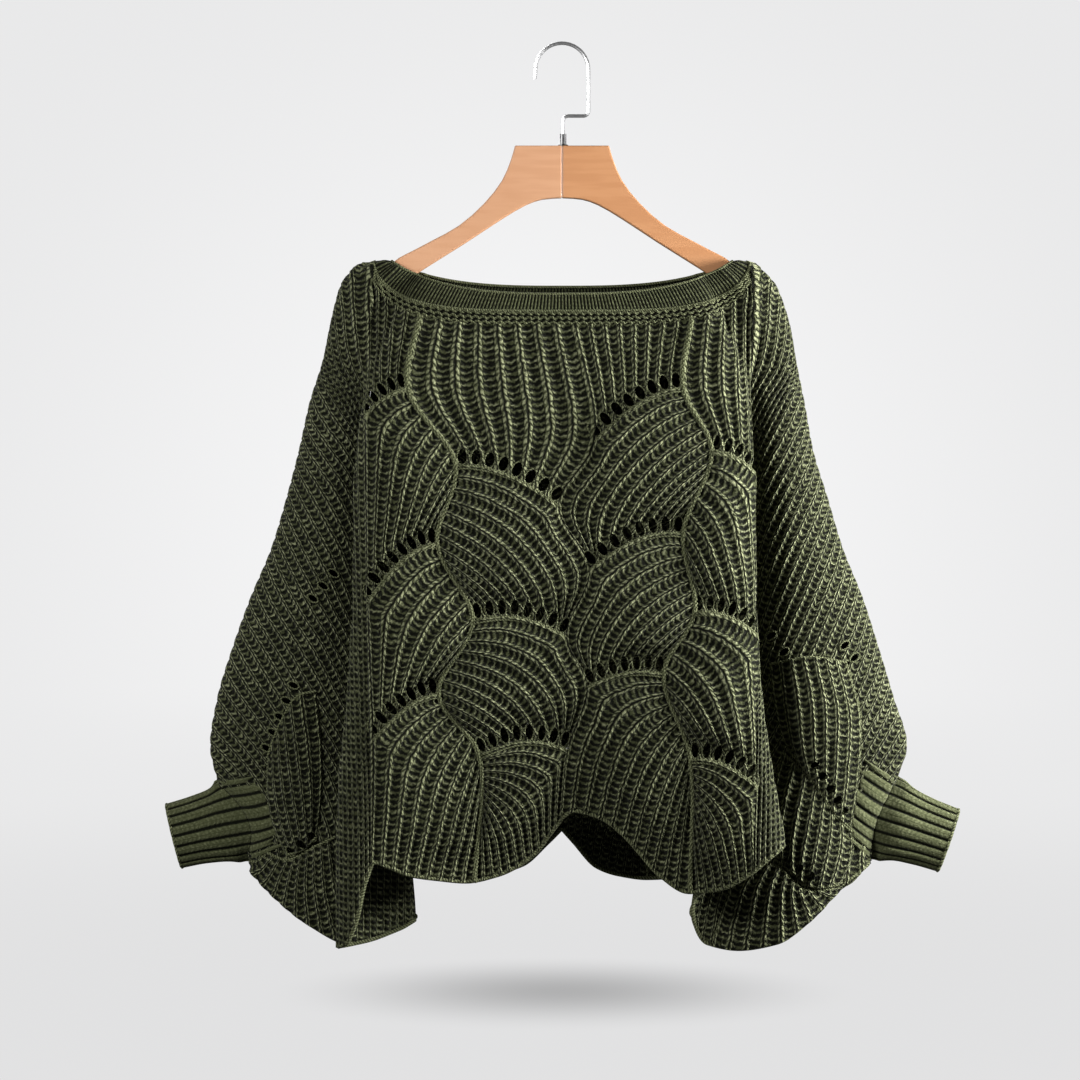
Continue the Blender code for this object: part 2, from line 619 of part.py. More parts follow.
def neckband(owner, finish):
    """The ribbed band round the boat neck: one closed loop over both hanger arms."""
    shares, rows = band_shares(), 2
    loop = [(FRONT, s) for s in shares[:-1]] + [(BACK, s) for s in shares[:0:-1]]
    inside, outside = [], []
    for face, share in loop:
        drape = drape_at(share, face)
        for k in range(rows + 1):
            low = k / rows
            across = abs(share) * (NECK_CORNER + (YOKE_CORNER - 1.3 - NECK_CORNER) * low)
            neck = drape.neck_drop(abs(share) * NECK_CORNER)
            yoke = drape.yoke_drop(abs(share) * YOKE_CORNER) - 3 * SEAM_GAP
            drop = neck + (yoke - neck) * low
            across = min(across, float(drape.length(drop)))
            point = drape.at(across, drop)
            normal = drape.outward(across, drop)
            if abs(share) < 0.0001:
                normal.x = 0.0
                normal.normalize()
            if abs(share) > 0.9999:
                point.y = normal.y = 0.0
                normal.normalize()
            inside.append(point)
            outside.append(point + normal * WALL)
    count, wide = len(loop), rows + 1
    faces = []
    for i in range(count):
        j = (i + 1) % count
        faces += [[i * wide + k, i * wide + k + 1, j * wide + k + 1, j * wide + k] for k in range(rows)]
    return add_object("neckband", walled(inside, outside, faces), owner, finish)


def sleeve_end(side):
    """Inner and outer points round the sleeve's open end, as the panels' meshes have them."""
    rings = ([], [])
    for face, shares in ((FRONT, range(CUFF_RIBS // 2 + 1)), (BACK, range(CUFF_RIBS // 2 - 1, 0, -1))):
        drape = DRAPES[(side, face)]
        top, bottom = drape.span(drape.reach)
        for k in shares:
            point, normal = cloth(face, side * drape.reach, top + (bottom - top) * end_share(k))
            rings[0].append(point)
            rings[1].append(point + normal * WALL)
    for ring in rings:
        ring[0].y = ring[CUFF_RIBS // 2].y = 0.0
    return rings


def between(ring):
    """The ring with a point added halfway to each next one."""
    return [p for a, b in zip(ring, ring[1:] + ring[:1]) for p in (a, (a + b) / 2)]


def cuff(name, side, owner, finish):
    """Ribbed tube sewn to the sleeve's end: ribs are raised points round each ring."""
    count = CUFF_RIBS * 2
    inner, outer = (between(ring) for ring in sleeve_end(side))
    middle = sum(inner, Vector()) / count
    axis = cuff_axis(side)
    up = Vector((-axis.z * side, 0.0, axis.x * side))
    inside = [p + axis * 2 * SEAM_GAP for p in inner]
    outside = [p + axis * 2 * SEAM_GAP for p in outer]
    for ring in CUFF_RINGS:
        for k in range(count):
            turn = 2 * math.pi * k / count
            spoke = (up * ring.half_tall * math.cos(turn)
                     + Vector((0, FRONT * ring.half_deep * math.sin(turn), 0)))
            normal = (up * ring.half_deep * math.cos(turn)
                      + Vector((0, FRONT * ring.half_tall * math.sin(turn), 0))).normalized()
            inside.append(middle + axis * CUFF_LENGTH[side] * ring.along + spoke)
            outside.append(inside[-1] + normal * (CUFF_WALL + CUFF_RIB_RISE * (1 - k % 2)))
    faces = []
    for n in range(len(CUFF_RINGS)):
        for k in range(count):
            j = (k + 1) % count
            quad = [n * count + k, n * count + j, (n + 1) * count + j, (n + 1) * count + k]
            faces.append(quad[::side])
    return add_object(name, walled(inside, outside, faces), owner, finish)


def hanger_arm(name, side, owner, finish):
    """Half of the flat wooden hanger, sawn from board and mitred at the centre."""
    top = through([(o.across, o.drop) for o in ARM_TOP], 2)
    bottom = through([(o.across, o.drop) for o in ARM_BOTTOM], 2)
    outline = [(SEAM_GAP / 2, WOOD_TOP_DROP), *top.tolist(), *bottom.tolist()]
    curve = bpy.data.curves.new(name, "CURVE")
    curve.dimensions = "2D"
    curve.fill_mode = "BOTH"
    curve.extrude = 0.5 * WOOD_THICK * MM
    spline = curve.splines.new("POLY")
    spline.points.add(len(outline) - 1)
    for point, (across, drop) in zip(spline.points, outline):
        point.co = (side * across * MM, -drop * MM, 0.0, 1.0)
    spline.use_cyclic_u = True
    flat = bpy.data.objects.new(name + "_outline", curve)
    flat.rotation_euler = (math.radians(90), 0, 0)
    owner.objects.link(flat)
    bpy.context.view_layer.update()
    solid = bpy.data.meshes.new_from_object(flat.evaluated_get(bpy.context.evaluated_depsgraph_get()))
    solid.transform(flat.matrix_world)
    bm = bmesh.new()
    bm.from_mesh(solid)
    bmesh.ops.remove_doubles(bm, verts=bm.verts, dist=1e-5)
    bmesh.ops.recalc_face_normals(bm, faces=bm.faces)
    bmesh.ops.scale(bm, vec=(1 / MM,) * 3, verts=bm.verts)
    bpy.data.objects.remove(flat)
    made = add_object(name, bm, owner, finish, 35)
    edges = made.modifiers.new("Rounded edges", "BEVEL")
    edges.width = 2.2 * MM
    edges.segments = 1
    edges.limit_method = "ANGLE"
    edges.angle_limit = math.radians(60)
    return made


def wire(name, points, owner, finish, diameter):
    curve = bpy.data.curves.new(name, "CURVE")
    curve.dimensions = "3D"
    curve.bevel_depth = 0.5 * diameter * MM
    curve.bevel_resolution = 2
    curve.use_fill_caps = True
    spline = curve.splines.new("POLY")
    spline.points.add(len(points) - 1)
    for point, (x, drop) in zip(spline.points, points):
        point.co = (x * MM, 0.0, -drop * MM, 1.0)
    curve.materials.append(finish)
    made = bpy.data.objects.new(name, curve)
    owner.objects.link(made)
    return made


def arc(centre, radius, start, stop, steps):
    """Points on a circle in the hanger's plane, in degrees from the viewer's right."""
    turns = [math.radians(start + (stop - start) * k / steps) for k in range(steps + 1)]
    return [(centre[0] + radius * math.cos(t), centre[1] - radius * math.sin(t)) for t in turns]


def hook(owner, finish):
    """Bent wire: stem, crank to the side, and the bend that goes over the rail."""
    half = 26.5
    centre = (0.0, half - 0.5 * WIRE)
    stem_x, crank_drop, corner = 1.0, 71.0, 5.0
    path = [(stem_x, WOOD_TOP_DROP - 3.0), (stem_x, crank_drop + corner + 8)]
    path += arc((stem_x + corner, crank_drop + corner), corner, 180, 90, 4)
    path += arc((half - corner, crank_drop - corner), corner, -90, 0, 4)
    path += arc(centre, half, 0, 182, 20)
    path += [(-half - 0.6, centre[1] + 9.0)]
    return wire("hanger_hook", path, owner, finish, WIRE)


def ferrule(owner, finish):
    """Small turned collar where the wire enters the wood."""
    profile = [(WIRE / 2 + 0.3, 12.0), (3.3, 12.0), (3.3, 1.5), (5.2, 1.0), (5.2, 0.3),
               (WIRE / 2 + 0.3, 0.3)]
    bm = bmesh.new()
    verts = [bm.verts.new((r + 0.0, 0.0, h)) for r, h in profile]
    edges = [bm.edges.new((a, b)) for a, b in zip(verts, verts[1:] + verts[:1])]
    bmesh.ops.spin(bm, geom=verts + edges, cent=(0, 0, 0), axis=(0, 0, 1), angle=2 * math.pi,
                   steps=14, use_merge=True)
    bmesh.ops.remove_doubles(bm, verts=bm.verts, dist=1e-4)
    bmesh.ops.recalc_face_normals(bm, faces=bm.faces)
    bmesh.ops.translate(bm, vec=(1.0, 0, -WOOD_TOP_DROP), verts=bm.verts)
    return add_object("hanger_ferrule", bm, owner, finish)


def main():
    for obj in list(bpy.data.objects):
        bpy.data.objects.remove(obj)
    sweater = collection("batwing_sweater")
    knit = material("olive_knit", (0.080, 0.086, 0.052), 0.95)
    pale_wood = material("pale_wood", (0.76, 0.42, 0.23), 0.45)
    warm_wood = material("warm_wood", (0.69, 0.35, 0.16), 0.45)
    steel = material("polished_wire", (0.72, 0.72, 0.72), 0.22, 1.0)
    panel("front", FRONT, sweater, knit)
    panel("back", BACK, sweater, knit)
    neckband(sweater, knit)
    cuff("cuff_left", LEFT, sweater, knit)
    cuff("cuff_right", RIGHT, sweater, knit)
    hanger_arm("hanger_arm_left", LEFT, sweater, pale_wood)
    hanger_arm("hanger_arm_right", RIGHT, sweater, warm_wood)
    hook(sweater, steel)
    ferrule(sweater, steel)


main()
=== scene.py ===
import math
from collections import namedtuple

import bmesh
import bpy
import numpy as np
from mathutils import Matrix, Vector


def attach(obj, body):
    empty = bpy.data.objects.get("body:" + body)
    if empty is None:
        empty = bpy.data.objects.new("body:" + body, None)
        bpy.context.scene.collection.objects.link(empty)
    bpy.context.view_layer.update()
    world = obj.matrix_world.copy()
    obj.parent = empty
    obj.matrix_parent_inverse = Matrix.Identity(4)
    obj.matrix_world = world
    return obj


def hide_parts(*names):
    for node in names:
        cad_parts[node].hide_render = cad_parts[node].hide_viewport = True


mm = 0.001
left, right = -1, 1
front, back = -1, 1

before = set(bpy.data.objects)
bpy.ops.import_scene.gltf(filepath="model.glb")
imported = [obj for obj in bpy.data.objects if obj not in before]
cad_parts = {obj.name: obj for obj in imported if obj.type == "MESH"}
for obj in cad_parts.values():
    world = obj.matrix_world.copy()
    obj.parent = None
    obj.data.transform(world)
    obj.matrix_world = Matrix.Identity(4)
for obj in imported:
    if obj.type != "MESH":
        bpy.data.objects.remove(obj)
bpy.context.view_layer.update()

# The cloth hangs in the same sections as the solids, in millimetres. A drop is measured down from
# the hook, down from the shoulder, and across and along from the sweater's middle.
backDepth = 0.72
neckCorner, yokeCorner = 172.0, 190.0
shoulderDrop, frontNeckDrop, backNeckDrop, bandHeight = 219.0, 251.0, 241.0, 17.0
cuffOpen, ribSweep = 16.0, 2.2
seamGap = 0.3

Section = namedtuple(
    "Section",
    "drop outerL outerR edgeL edgeR valleyL valleyR centre front valleyDepth sleeve turn",
)
sections = [
    Section(217, 172, 172, 118, 118, 150, 150, 20, 14, 11.0, 9.0, 2),
    Section(219, 190, 190, 124, 124, 158, 158, 21, 15, 12.0, 10.0, 2),
    Section(224, 206, 195, 130, 128, 168, 163, 22, 17, 13.5, 11.5, 2),
    Section(230, 210, 200, 138, 134, 176, 168, 24, 19, 15.0, 13.0, 3),
    Section(239, 217, 209, 146, 142, 186, 178, 27, 23, 18.0, 15.0, 3),
    Section(254, 222, 216, 154, 150, 195, 189, 31, 28, 21.0, 17.0, 4),
    Section(284, 229, 225, 170, 163, 201, 195, 38, 36, 25.0, 20.0, 6),
    Section(314, 235, 230, 182, 174, 200, 192, 45, 44, 25.0, 22.0, 8),
    Section(359, 249, 239, 193, 182, 194, 185, 53, 54, 22.5, 24.0, 10),
    Section(404, 259, 247, 200, 185, 187, 178, 60, 61, 19.5, 26.0, 12),
    Section(454, 272, 262, 203, 186, 180, 171, 66, 67, 16.5, 28.0, 13),
    Section(504, 287, 277, 203, 187, 174, 165, 70, 71, 14.5, 30.0, 14),
    Section(554, 308, 297, 203, 188, 169, 160, 72, 75, 13.5, 32.0, 15),
    Section(604, 326, 313, 206, 190, 164, 155, 72, 78, 13.0, 33.0, 15),
    Section(654, 341, 328, 209, 194, 160, 151, 69, 80, 12.5, 33.0, 15),
    Section(700, 348, 341, 214, 200, 156, 146, 64, 81, 12.0, 31.0, 15),
    Section(730, 342, 332, 217, 205, 154, 143, 60, 82, 12.0, 29.0, 15),
    Section(815, 309, 305, 219, 219, 149, 134, 52, 83, 12.0, 27.0, 15),
    Section(860, 306, 302, 219, 222, 146, 129, 50, 83, 12.0, 27.0, 15),
    Section(909, 304, 300, 219, 224, 144, 126, 50, 83, 12.0, 27.0, 15),
]
cuffTop = {left: 732.0, right: 729.0}
cuffBottom = {left: 816.0, right: 814.0}

# (distance along the cloth from the centre, drop) of the scalloped hem
frontHem = {
    right: [(0, 770), (12, 763), (37, 769), (57, 782), (77, 803), (97, 825), (127, 842), (157, 839),
            (187, 824), (212, 804), (232, 795), (262, 808), (305, 836), (338, 852), (350, 876),
            (370, 898), (401, 903), (440, 896), (470, 872), (492, 842), (520, 814)],
    left: [(0, 770), (12, 786), (25, 803), (43, 817), (63, 826), (93, 832), (123, 829), (148, 825),
           (168, 817), (182, 812), (191, 832), (200, 872), (210, 892), (224, 896), (250, 893),
           (290, 882), (318, 873), (345, 885), (383, 896), (418, 879), (453, 849), (480, 816)],
}
backHem = {
    right: [(0, 787), (12, 800), (37, 826), (60, 834), (90, 838), (130, 836), (175, 818), (220, 799),
            (262, 810), (310, 838), (350, 876), (401, 896), (440, 889), (470, 867), (492, 840),
            (520, 814)],
    left: [(0, 787), (14, 801), (40, 824), (64, 831), (95, 833), (135, 829), (182, 809), (212, 812),
           (250, 838), (290, 868), (345, 883), (383, 889), (418, 873), (453, 846), (480, 816)],
}


def smooth(xs, ys, x):
    xs, ys, x = np.asarray(xs, float), np.asarray(ys, float), np.asarray(x, float)
    step = np.diff(xs)
    slope = np.diff(ys) / step
    tangent = np.zeros(len(xs))
    tangent[0], tangent[-1] = slope[0], slope[-1]
    for i in range(1, len(xs) - 1):
        if slope[i - 1] * slope[i] > 0:
            tangent[i] = 2 * slope[i - 1] * slope[i] / (slope[i - 1] + slope[i])
    x = np.clip(x, xs[0], xs[-1])
    i = np.clip(np.searchsorted(xs, x, side="right") - 1, 0, len(step) - 1)
    t = (x - xs[i]) / step[i]
    return ((2 * t**3 - 3 * t**2 + 1) * ys[i] + (t**3 - 2 * t**2 + t) * step[i] * tangent[i]
            + (3 * t**2 - 2 * t**3) * ys[i + 1] + (t**3 - t**2) * step[i] * tangent[i + 1])


def through(points, samples):
    p = np.asarray(points, float)
    p = np.vstack([2 * p[0] - p[1], p, 2 * p[-1] - p[-2]])
    knots = np.concatenate([[0], np.cumsum(np.linalg.norm(np.diff(p, axis=0), axis=1) ** 0.5)])
    made = []
    for i in range(1, len(p) - 2):
        k0, k1, k2, k3 = knots[i - 1:i + 3]
        t = np.linspace(k1, k2, samples, endpoint=False)[:, None]
        a1 = (k1 - t) / (k1 - k0) * p[i - 1] + (t - k0) / (k1 - k0) * p[i]
        a2 = (k2 - t) / (k2 - k1) * p[i] + (t - k1) / (k2 - k1) * p[i + 1]
        a3 = (k3 - t) / (k3 - k2) * p[i + 1] + (t - k2) / (k3 - k2) * p[i + 2]
        b1 = (k2 - t) / (k2 - k0) * a1 + (t - k0) / (k2 - k0) * a2
        b2 = (k3 - t) / (k3 - k1) * a2 + (t - k1) / (k3 - k1) * a3
        made.append((k2 - t) / (k2 - k1) * b1 + (t - k1) / (k2 - k1) * b2)
    return np.vstack([*made, p[-2][None]])


def runOf(points):
    steps = np.linalg.norm(np.diff(points, axis=0), axis=1)
    return np.concatenate([[0], np.cumsum(steps)])


def resampled(points, count):
    points = np.asarray(points, float)
    run = runOf(points)
    return sampledAt(points, run, np.linspace(0, run[-1], count))


def sampledAt(points, run, places):
    return np.stack([np.interp(places, run, points[:, k]) for k in range(points.shape[1])], axis=-1)


# One quarter of the sweater: a side's front or back, from the middle to the sleeve's end.
class Drape:
    levelStep, samples, cell, widest = 4.0, 10, 0.5, 620.0

    def __init__(self, side, face):
        self.side, self.face = side, face
        self.deep = 1.0 if face == front else backDepth
        self.drops = np.array([s.drop for s in sections], float)
        end = "L" if side == left else "R"
        self.column = {
            name: np.array([getattr(s, name + end if name in ("outer", "edge", "valley") else name)
                            for s in sections], float)
            for name in ("outer", "edge", "valley", "centre", "front", "valleyDepth", "sleeve", "turn")
        }
        self.levels = np.arange(self.drops[0], self.drops[-1] + self.levelStep, self.levelStep)
        lines = [self.section(drop) for drop in self.levels]
        arcs = [runOf(line) for line in lines]
        self.lengths = np.array([a[-1] for a in arcs])
        self.valleyArcs = np.array([a[6 * self.samples] for a in arcs])
        places = np.arange(0.0, self.widest, self.cell)
        self.table = np.array([sampledAt(line, run, places) for line, run in zip(lines, arcs)])
        self.hem = np.array((frontHem if face == front else backHem)[side], float)
        self.cuffAlong = float(self.length(cuffBottom[side]))
        start = np.interp(yokeCorner, self.column["outer"][:3], self.drops[:3])
        drops = np.arange(start, cuffTop[side] + 1.0, 1.0)
        outer = smooth(self.drops, self.column["outer"], drops)
        self.topRun = runOf(np.stack([outer, drops], axis=1)) + yokeCorner
        self.topDrops = drops
        self.reach = float(self.topRun[-1])
        self.ribPlaces = np.arange(0.0, self.reach + 10.0, 10.0)
        shares = np.linspace(0, 1, 15)
        across, share = np.meshgrid(np.minimum(self.ribPlaces, self.reach), shares, indexing="ij")
        points = self.at(*self.onRib(across, share))
        self.ribLengths = np.linalg.norm(np.diff(points, axis=1), axis=2).sum(axis=1)

    @staticmethod
    def folded(edge, valley):
        share = np.clip((edge - valley + 8.0) / 40.0, 0, 1)
        return share * share * (3 - 2 * share)

    def section(self, drop):
        c = {name: float(smooth(self.drops, values, drop)) for name, values in self.column.items()}
        deepFront, centre = c["front"] * self.deep, c["centre"] * self.deep
        turn, width = c["turn"] * self.deep, c["outer"] - c["valley"]
        lip = 7.2 + 0.05 * (c["sleeve"] - 9.0)
        low = min(c["valleyDepth"], deepFront)
        fold = float(self.folded(c["edge"], c["valley"]))
        loose = 1.0 - fold
        points = [
            (0.0, centre),
            (0.5 * c["edge"], 0.5 * (centre + deepFront) + 2.0),
            (c["edge"] - turn, deepFront),
            (c["edge"], deepFront - turn),
            (0.55 * c["valley"] + 0.45 * c["edge"], 0.42 * (deepFront - turn) + 0.58 * (low + 16.0 * fold)),
            (c["valley"] + 8.0 * fold - 4.0 * loose, low + 16.0 * fold + 2.0 * loose),
            (c["valley"], low + 6.5 * fold),
            (c["valley"] + 9.0 * fold + 5.0 * loose, low - 1.5 * fold - loose),
            (c["valley"] + 0.52 * width, c["sleeve"]),
            (c["valley"] + 0.84 * width, 0.66 * c["sleeve"] + 2.0),
            (c["outer"] - 1.2, lip),
            (c["outer"], 0.5 * seamGap),
        ]
        return through(points, self.samples)

    def length(self, drop):
        return np.interp(drop, self.levels, self.lengths)

    def at(self, along, drop):
        along, drop = np.broadcast_arrays(np.asarray(along, float), np.asarray(drop, float))
        place = np.clip((drop - self.levels[0]) / self.levelStep, 0, len(self.levels) - 1.001)
        low = place.astype(int)
        share = place - low
        length = self.length(drop)
        near = np.clip((along - 0.5 * length) / (0.5 * length), 0, 1)
        found = np.zeros(along.shape + (2,))
        for level, weight in ((low, 1 - share), (low + 1, share)):
            reach = np.minimum(along + near * (self.lengths[level] - length), self.lengths[level])
            cell = np.clip(reach / self.cell, 0, self.table.shape[1] - 1.001)
            index = cell.astype(int)
            part = (cell - index)[..., None]
            found += weight[..., None] * (self.table[level, index] * (1 - part)
                                          + self.table[level, index + 1] * part)
        return np.stack([self.side * found[..., 0], self.face * found[..., 1], -drop], axis=-1)

    def hemDrop(self, along):
        scale = self.hem[-1, 0] / self.cuffAlong
        return smooth(self.hem[:, 0], self.hem[:, 1], np.asarray(along) * scale)

    def yokeDrop(self, across):
        low = (frontNeckDrop if self.face == front else backNeckDrop) + bandHeight
        share = np.maximum(0.0, 1 - (np.abs(across) / yokeCorner) ** 4) ** 0.55
        return shoulderDrop + (low - shoulderDrop) * share

    def neckDrop(self, across):
        low = frontNeckDrop if self.face == front else backNeckDrop
        share = np.maximum(0.0, 1 - (np.abs(across) / neckCorner) ** 2.9) ** 0.9
        return self.drops[0] + (low - self.drops[0]) * share

    def line(self, across):
        share = np.clip((across - yokeCorner) / (self.reach - yokeCorner), 0, 1)
        body = across <= yokeCorner
        top = np.where(body, self.yokeDrop(across), np.interp(across, self.topRun, self.topDrops))
        end = yokeCorner + (self.cuffAlong - yokeCorner) * (0.35 * share + 0.65 * share**1.6)
        start = np.where(body, across, self.length(top))
        end = np.where(body, across, end)
        return start, top, end, self.hemDrop(end), np.where(body, 0.0, share)

    def onRib(self, across, share):
        a0, d0, a1, d1, sleeve = self.line(across)
        along = a1 + (a0 - a1) * (1 - share) ** ribSweep
        along = along - cuffOpen * np.sin(np.pi * share) * sleeve**4
        return along, d0 + (d1 - d0) * share

    def span(self, across):
        across = np.asarray(across, float)
        end = float(self.hemDrop(yokeCorner)) - shoulderDrop
        ratio = end / np.interp(yokeCorner, self.ribPlaces, self.ribLengths)
        fade = np.clip((across - yokeCorner) / 60.0, 0, 1)
        long = np.interp(across, self.ribPlaces, self.ribLengths) * (ratio + (1 - ratio) * fade)
        body = across <= yokeCorner
        return (np.where(body, self.yokeDrop(across) - shoulderDrop, 0.0),
                np.where(body, self.hemDrop(across) - shoulderDrop, long))

    def flat(self, across, down):
        top, bottom = self.span(across)
        return self.onRib(across, np.clip((down - top) / (bottom - top), 0, 1))

    def outward(self, along, drop, step=3.0):
        along = np.clip(along, step, self.length(drop) - step)
        across = self.at(along + step, drop) - self.at(along - step, drop)
        down = self.at(along, drop + step) - self.at(along, drop - step)
        normal = np.cross(across, down) * self.side * self.face
        normal[..., 1] = self.face * np.maximum(0.0, self.face * normal[..., 1])
        return normal / np.linalg.norm(normal, axis=-1, keepdims=True)

    def valley(self, along, drop):
        apart = (along - np.interp(drop, self.levels, self.valleyArcs)) / 16.0
        fold = self.folded(np.interp(drop, self.drops, self.column["edge"]),
                           np.interp(drop, self.drops, self.column["valley"]))
        return fold * np.exp(-apart * apart)


drapes = {(side, face): Drape(side, face) for side in (left, right) for face in (front, back)}


# The sides that places lie on, with the places on each.
def sidesOf(across):
    for side in (left, right):
        chosen = across < 0 if side == left else across >= 0
        if chosen.any():
            yield side, chosen


# Points, outward normals and fold share for places of the flat cloth.
def hung(face, across, down):
    across, down = np.broadcast_arrays(np.asarray(across, float), np.asarray(down, float))
    points, normals = np.zeros(across.shape + (3,)), np.zeros(across.shape + (3,))
    fold = np.zeros(across.shape)
    for side, chosen in sidesOf(across):
        drape = drapes[(side, face)]
        along, drop = drape.flat(np.abs(across[chosen]), down[chosen])
        points[chosen] = drape.at(along, drop)
        normals[chosen] = drape.outward(along, drop)
        fold[chosen] = drape.valley(along, drop)
    middle = np.abs(across) < 3.0
    normals[..., 0] = np.where(middle, normals[..., 0] * np.abs(across) / 3.0, normals[..., 0])
    normals /= np.linalg.norm(normals, axis=-1, keepdims=True)
    return points, normals, fold


# How far down the cloth's top (0) or its hem (1) lies at places across it.
def edgeDown(face, across, edge):
    across = np.asarray(across, float)
    found = np.zeros(across.shape)
    for side, chosen in sidesOf(across):
        found[chosen] = drapes[(side, face)].span(np.abs(across[chosen]))[edge]
    return found


def topDown(face, across):
    return edgeDown(face, across, 0)


def hemDown(face, across):
    return edgeDown(face, across, 1)


# Where the sleeve ends at the cuff, at shares of its height.
def sleeveEnd(side, face, share):
    drape = drapes[(side, face)]
    top, bottom = drape.span(drape.reach)
    return hung(face, np.full(share.shape, side * drape.reach), top + (bottom - top) * share)


print("drapes ready")

Row = namedtuple("Row", "spineAcross spineDown valleyAcross valleyDown bow holes")
rows = {
    "a1": Row(-153, 127, -192, 153, 2, 5), "a2": Row(-123, 280, -190, 336, 6, 8),
    "a3": Row(-122, 427, -186, 471, 4, 7),
    "b1": Row(-105, 203, -4, 242, 6, 8), "b2": Row(-88, 355, 4, 370, 9, 8),
    "b3": Row(-83, 487, 6, 481, 12, 8),
    "c1": Row(119, 127, 32, 179, 5, 8), "c2": Row(119, 270, 27, 305, 8, 8),
    "c3": Row(100, 407, 25, 419, 6, 7),
    "d1": Row(147, 189, 192, 213, 3, 5), "d2": Row(130, 347, 196, 374, 6, 7),
    "d3": Row(127, 491, 196, 521, 6, 7),
}
holeShare, holeTall = 0.72, 15.5
backShift = 20.0
garter = 14.0
rowPitch, ribPitch = 6.3, 14.4
shellRise, shellFade, shellDome = 4.6, 62.0, 7.5
clothLift, ribRise, sleeveRibRise = 1.0, 2.7, 3.0

toHem = 999
# Each boundary runs from the garter rows (None) to the hem, through the ends of the rows beside it.
lines = {
    "outerLeft": [(-190, None), (-192, 153), (-190, 336), (-186, 471), (-190, toHem)],
    "spineLeft": [(-141, None), (-153, 127), (-105, 203), (-123, 280), (-88, 355), (-122, 427),
                  (-83, 487), (-88, toHem)],
    "valley": [(13, None), (32, 179), (-4, 242), (27, 305), (4, 370), (25, 419), (6, 481), (-2, toHem)],
    "spineRight": [(128, None), (119, 127), (147, 189), (119, 270), (130, 347), (100, 407),
                   (127, 491), (128, toHem)],
    "outerRight": [(190, None), (192, 213), (196, 374), (196, 521), (197, toHem)],
}
# spine, outer side, the rows of each column of shells from the top, and how many of a shell's ribs
# run past its eyelets, along the outer side
columns = [
    ("spineLeft", "outerLeft", ("a1", "a2", "a3"), 1),
    ("spineLeft", "valley", ("b1", "b2", "b3"), 3),
    ("spineRight", "valley", ("c1", "c2", "c3"), 3),
    ("spineRight", "outerRight", ("d1", "d2", "d3"), 1),
]


def rowPoint(row, share):
    share = np.asarray(share, float)
    across = row.spineAcross + (row.valleyAcross - row.spineAcross) * share
    down = row.spineDown + (row.valleyDown - row.spineDown) * share**1.4
    return across, down - row.bow * np.sin(np.pi * share)


def mirrored(row):
    return row._replace(spineAcross=-row.spineAcross, spineDown=row.spineDown + backShift,
                        valleyAcross=-row.valleyAcross, valleyDown=row.valleyDown + backShift)


# The lines, rows and columns of one face; the back is the same piece turned over.
class Pattern:
    def __init__(self, face):
        self.face = face
        turn = 1 if face == front else -1
        self.rows = {k: (r if face == front else mirrored(r)) for k, r in rows.items()}
        self.lines = {}
        for name, points in lines.items():
            ends = []
            for across, down in points:
                across *= turn
                if down is None:
                    down = float(topDown(face, np.array([across]))[0]) + garter
                elif down == toHem:
                    down = float(hemDown(face, np.array([across]))[0])
                elif face == back:
                    down += backShift
                ends.append((across, down))
            curve = through(ends, 12)
            order = np.argsort(curve[:, 1], kind="stable")
            self.lines[name] = curve[order]

    def side(self, name, low, high, count):
        line = self.lines[name]
        downs = np.linspace(low, high, 120)
        return resampled(np.stack([np.interp(downs, line[:, 1], line[:, 0]), downs], axis=1), count)

    def top(self, name):
        return self.lines[name][0]

    def bottom(self, name):
        return self.lines[name][-1]

    def arc(self, row, count):
        across, down = rowPoint(row, np.linspace(0, 1, 80))
        return resampled(np.stack([across, down], axis=1), count)

    def hemArc(self, spine, outer, count):
        across = np.linspace(self.bottom(spine)[0], self.bottom(outer)[0], 80)
        return resampled(np.stack([across, hemDown(self.face, across)], axis=1), count)

    def garterArc(self, spine, outer, count):
        across = np.linspace(self.top(spine)[0], self.top(outer)[0], 80)
        return resampled(np.stack([across, topDown(self.face, across) + garter], axis=1), count)


patterns = {face: Pattern(face) for face in (front, back)}


# A path's bulge with its corners eased over a share of its length.
def rounded(bulge, amount):
    many = len(bulge)
    weight = np.exp(-0.5 * (np.arange(1 - many, many) / (amount * many)) ** 2)
    weight /= weight.sum()
    padded = np.vstack([-bulge[:0:-1], bulge, -bulge[-2::-1]])
    return np.stack([np.convolve(padded[:, i], weight, "valid") for i in (0, 1)], axis=1)


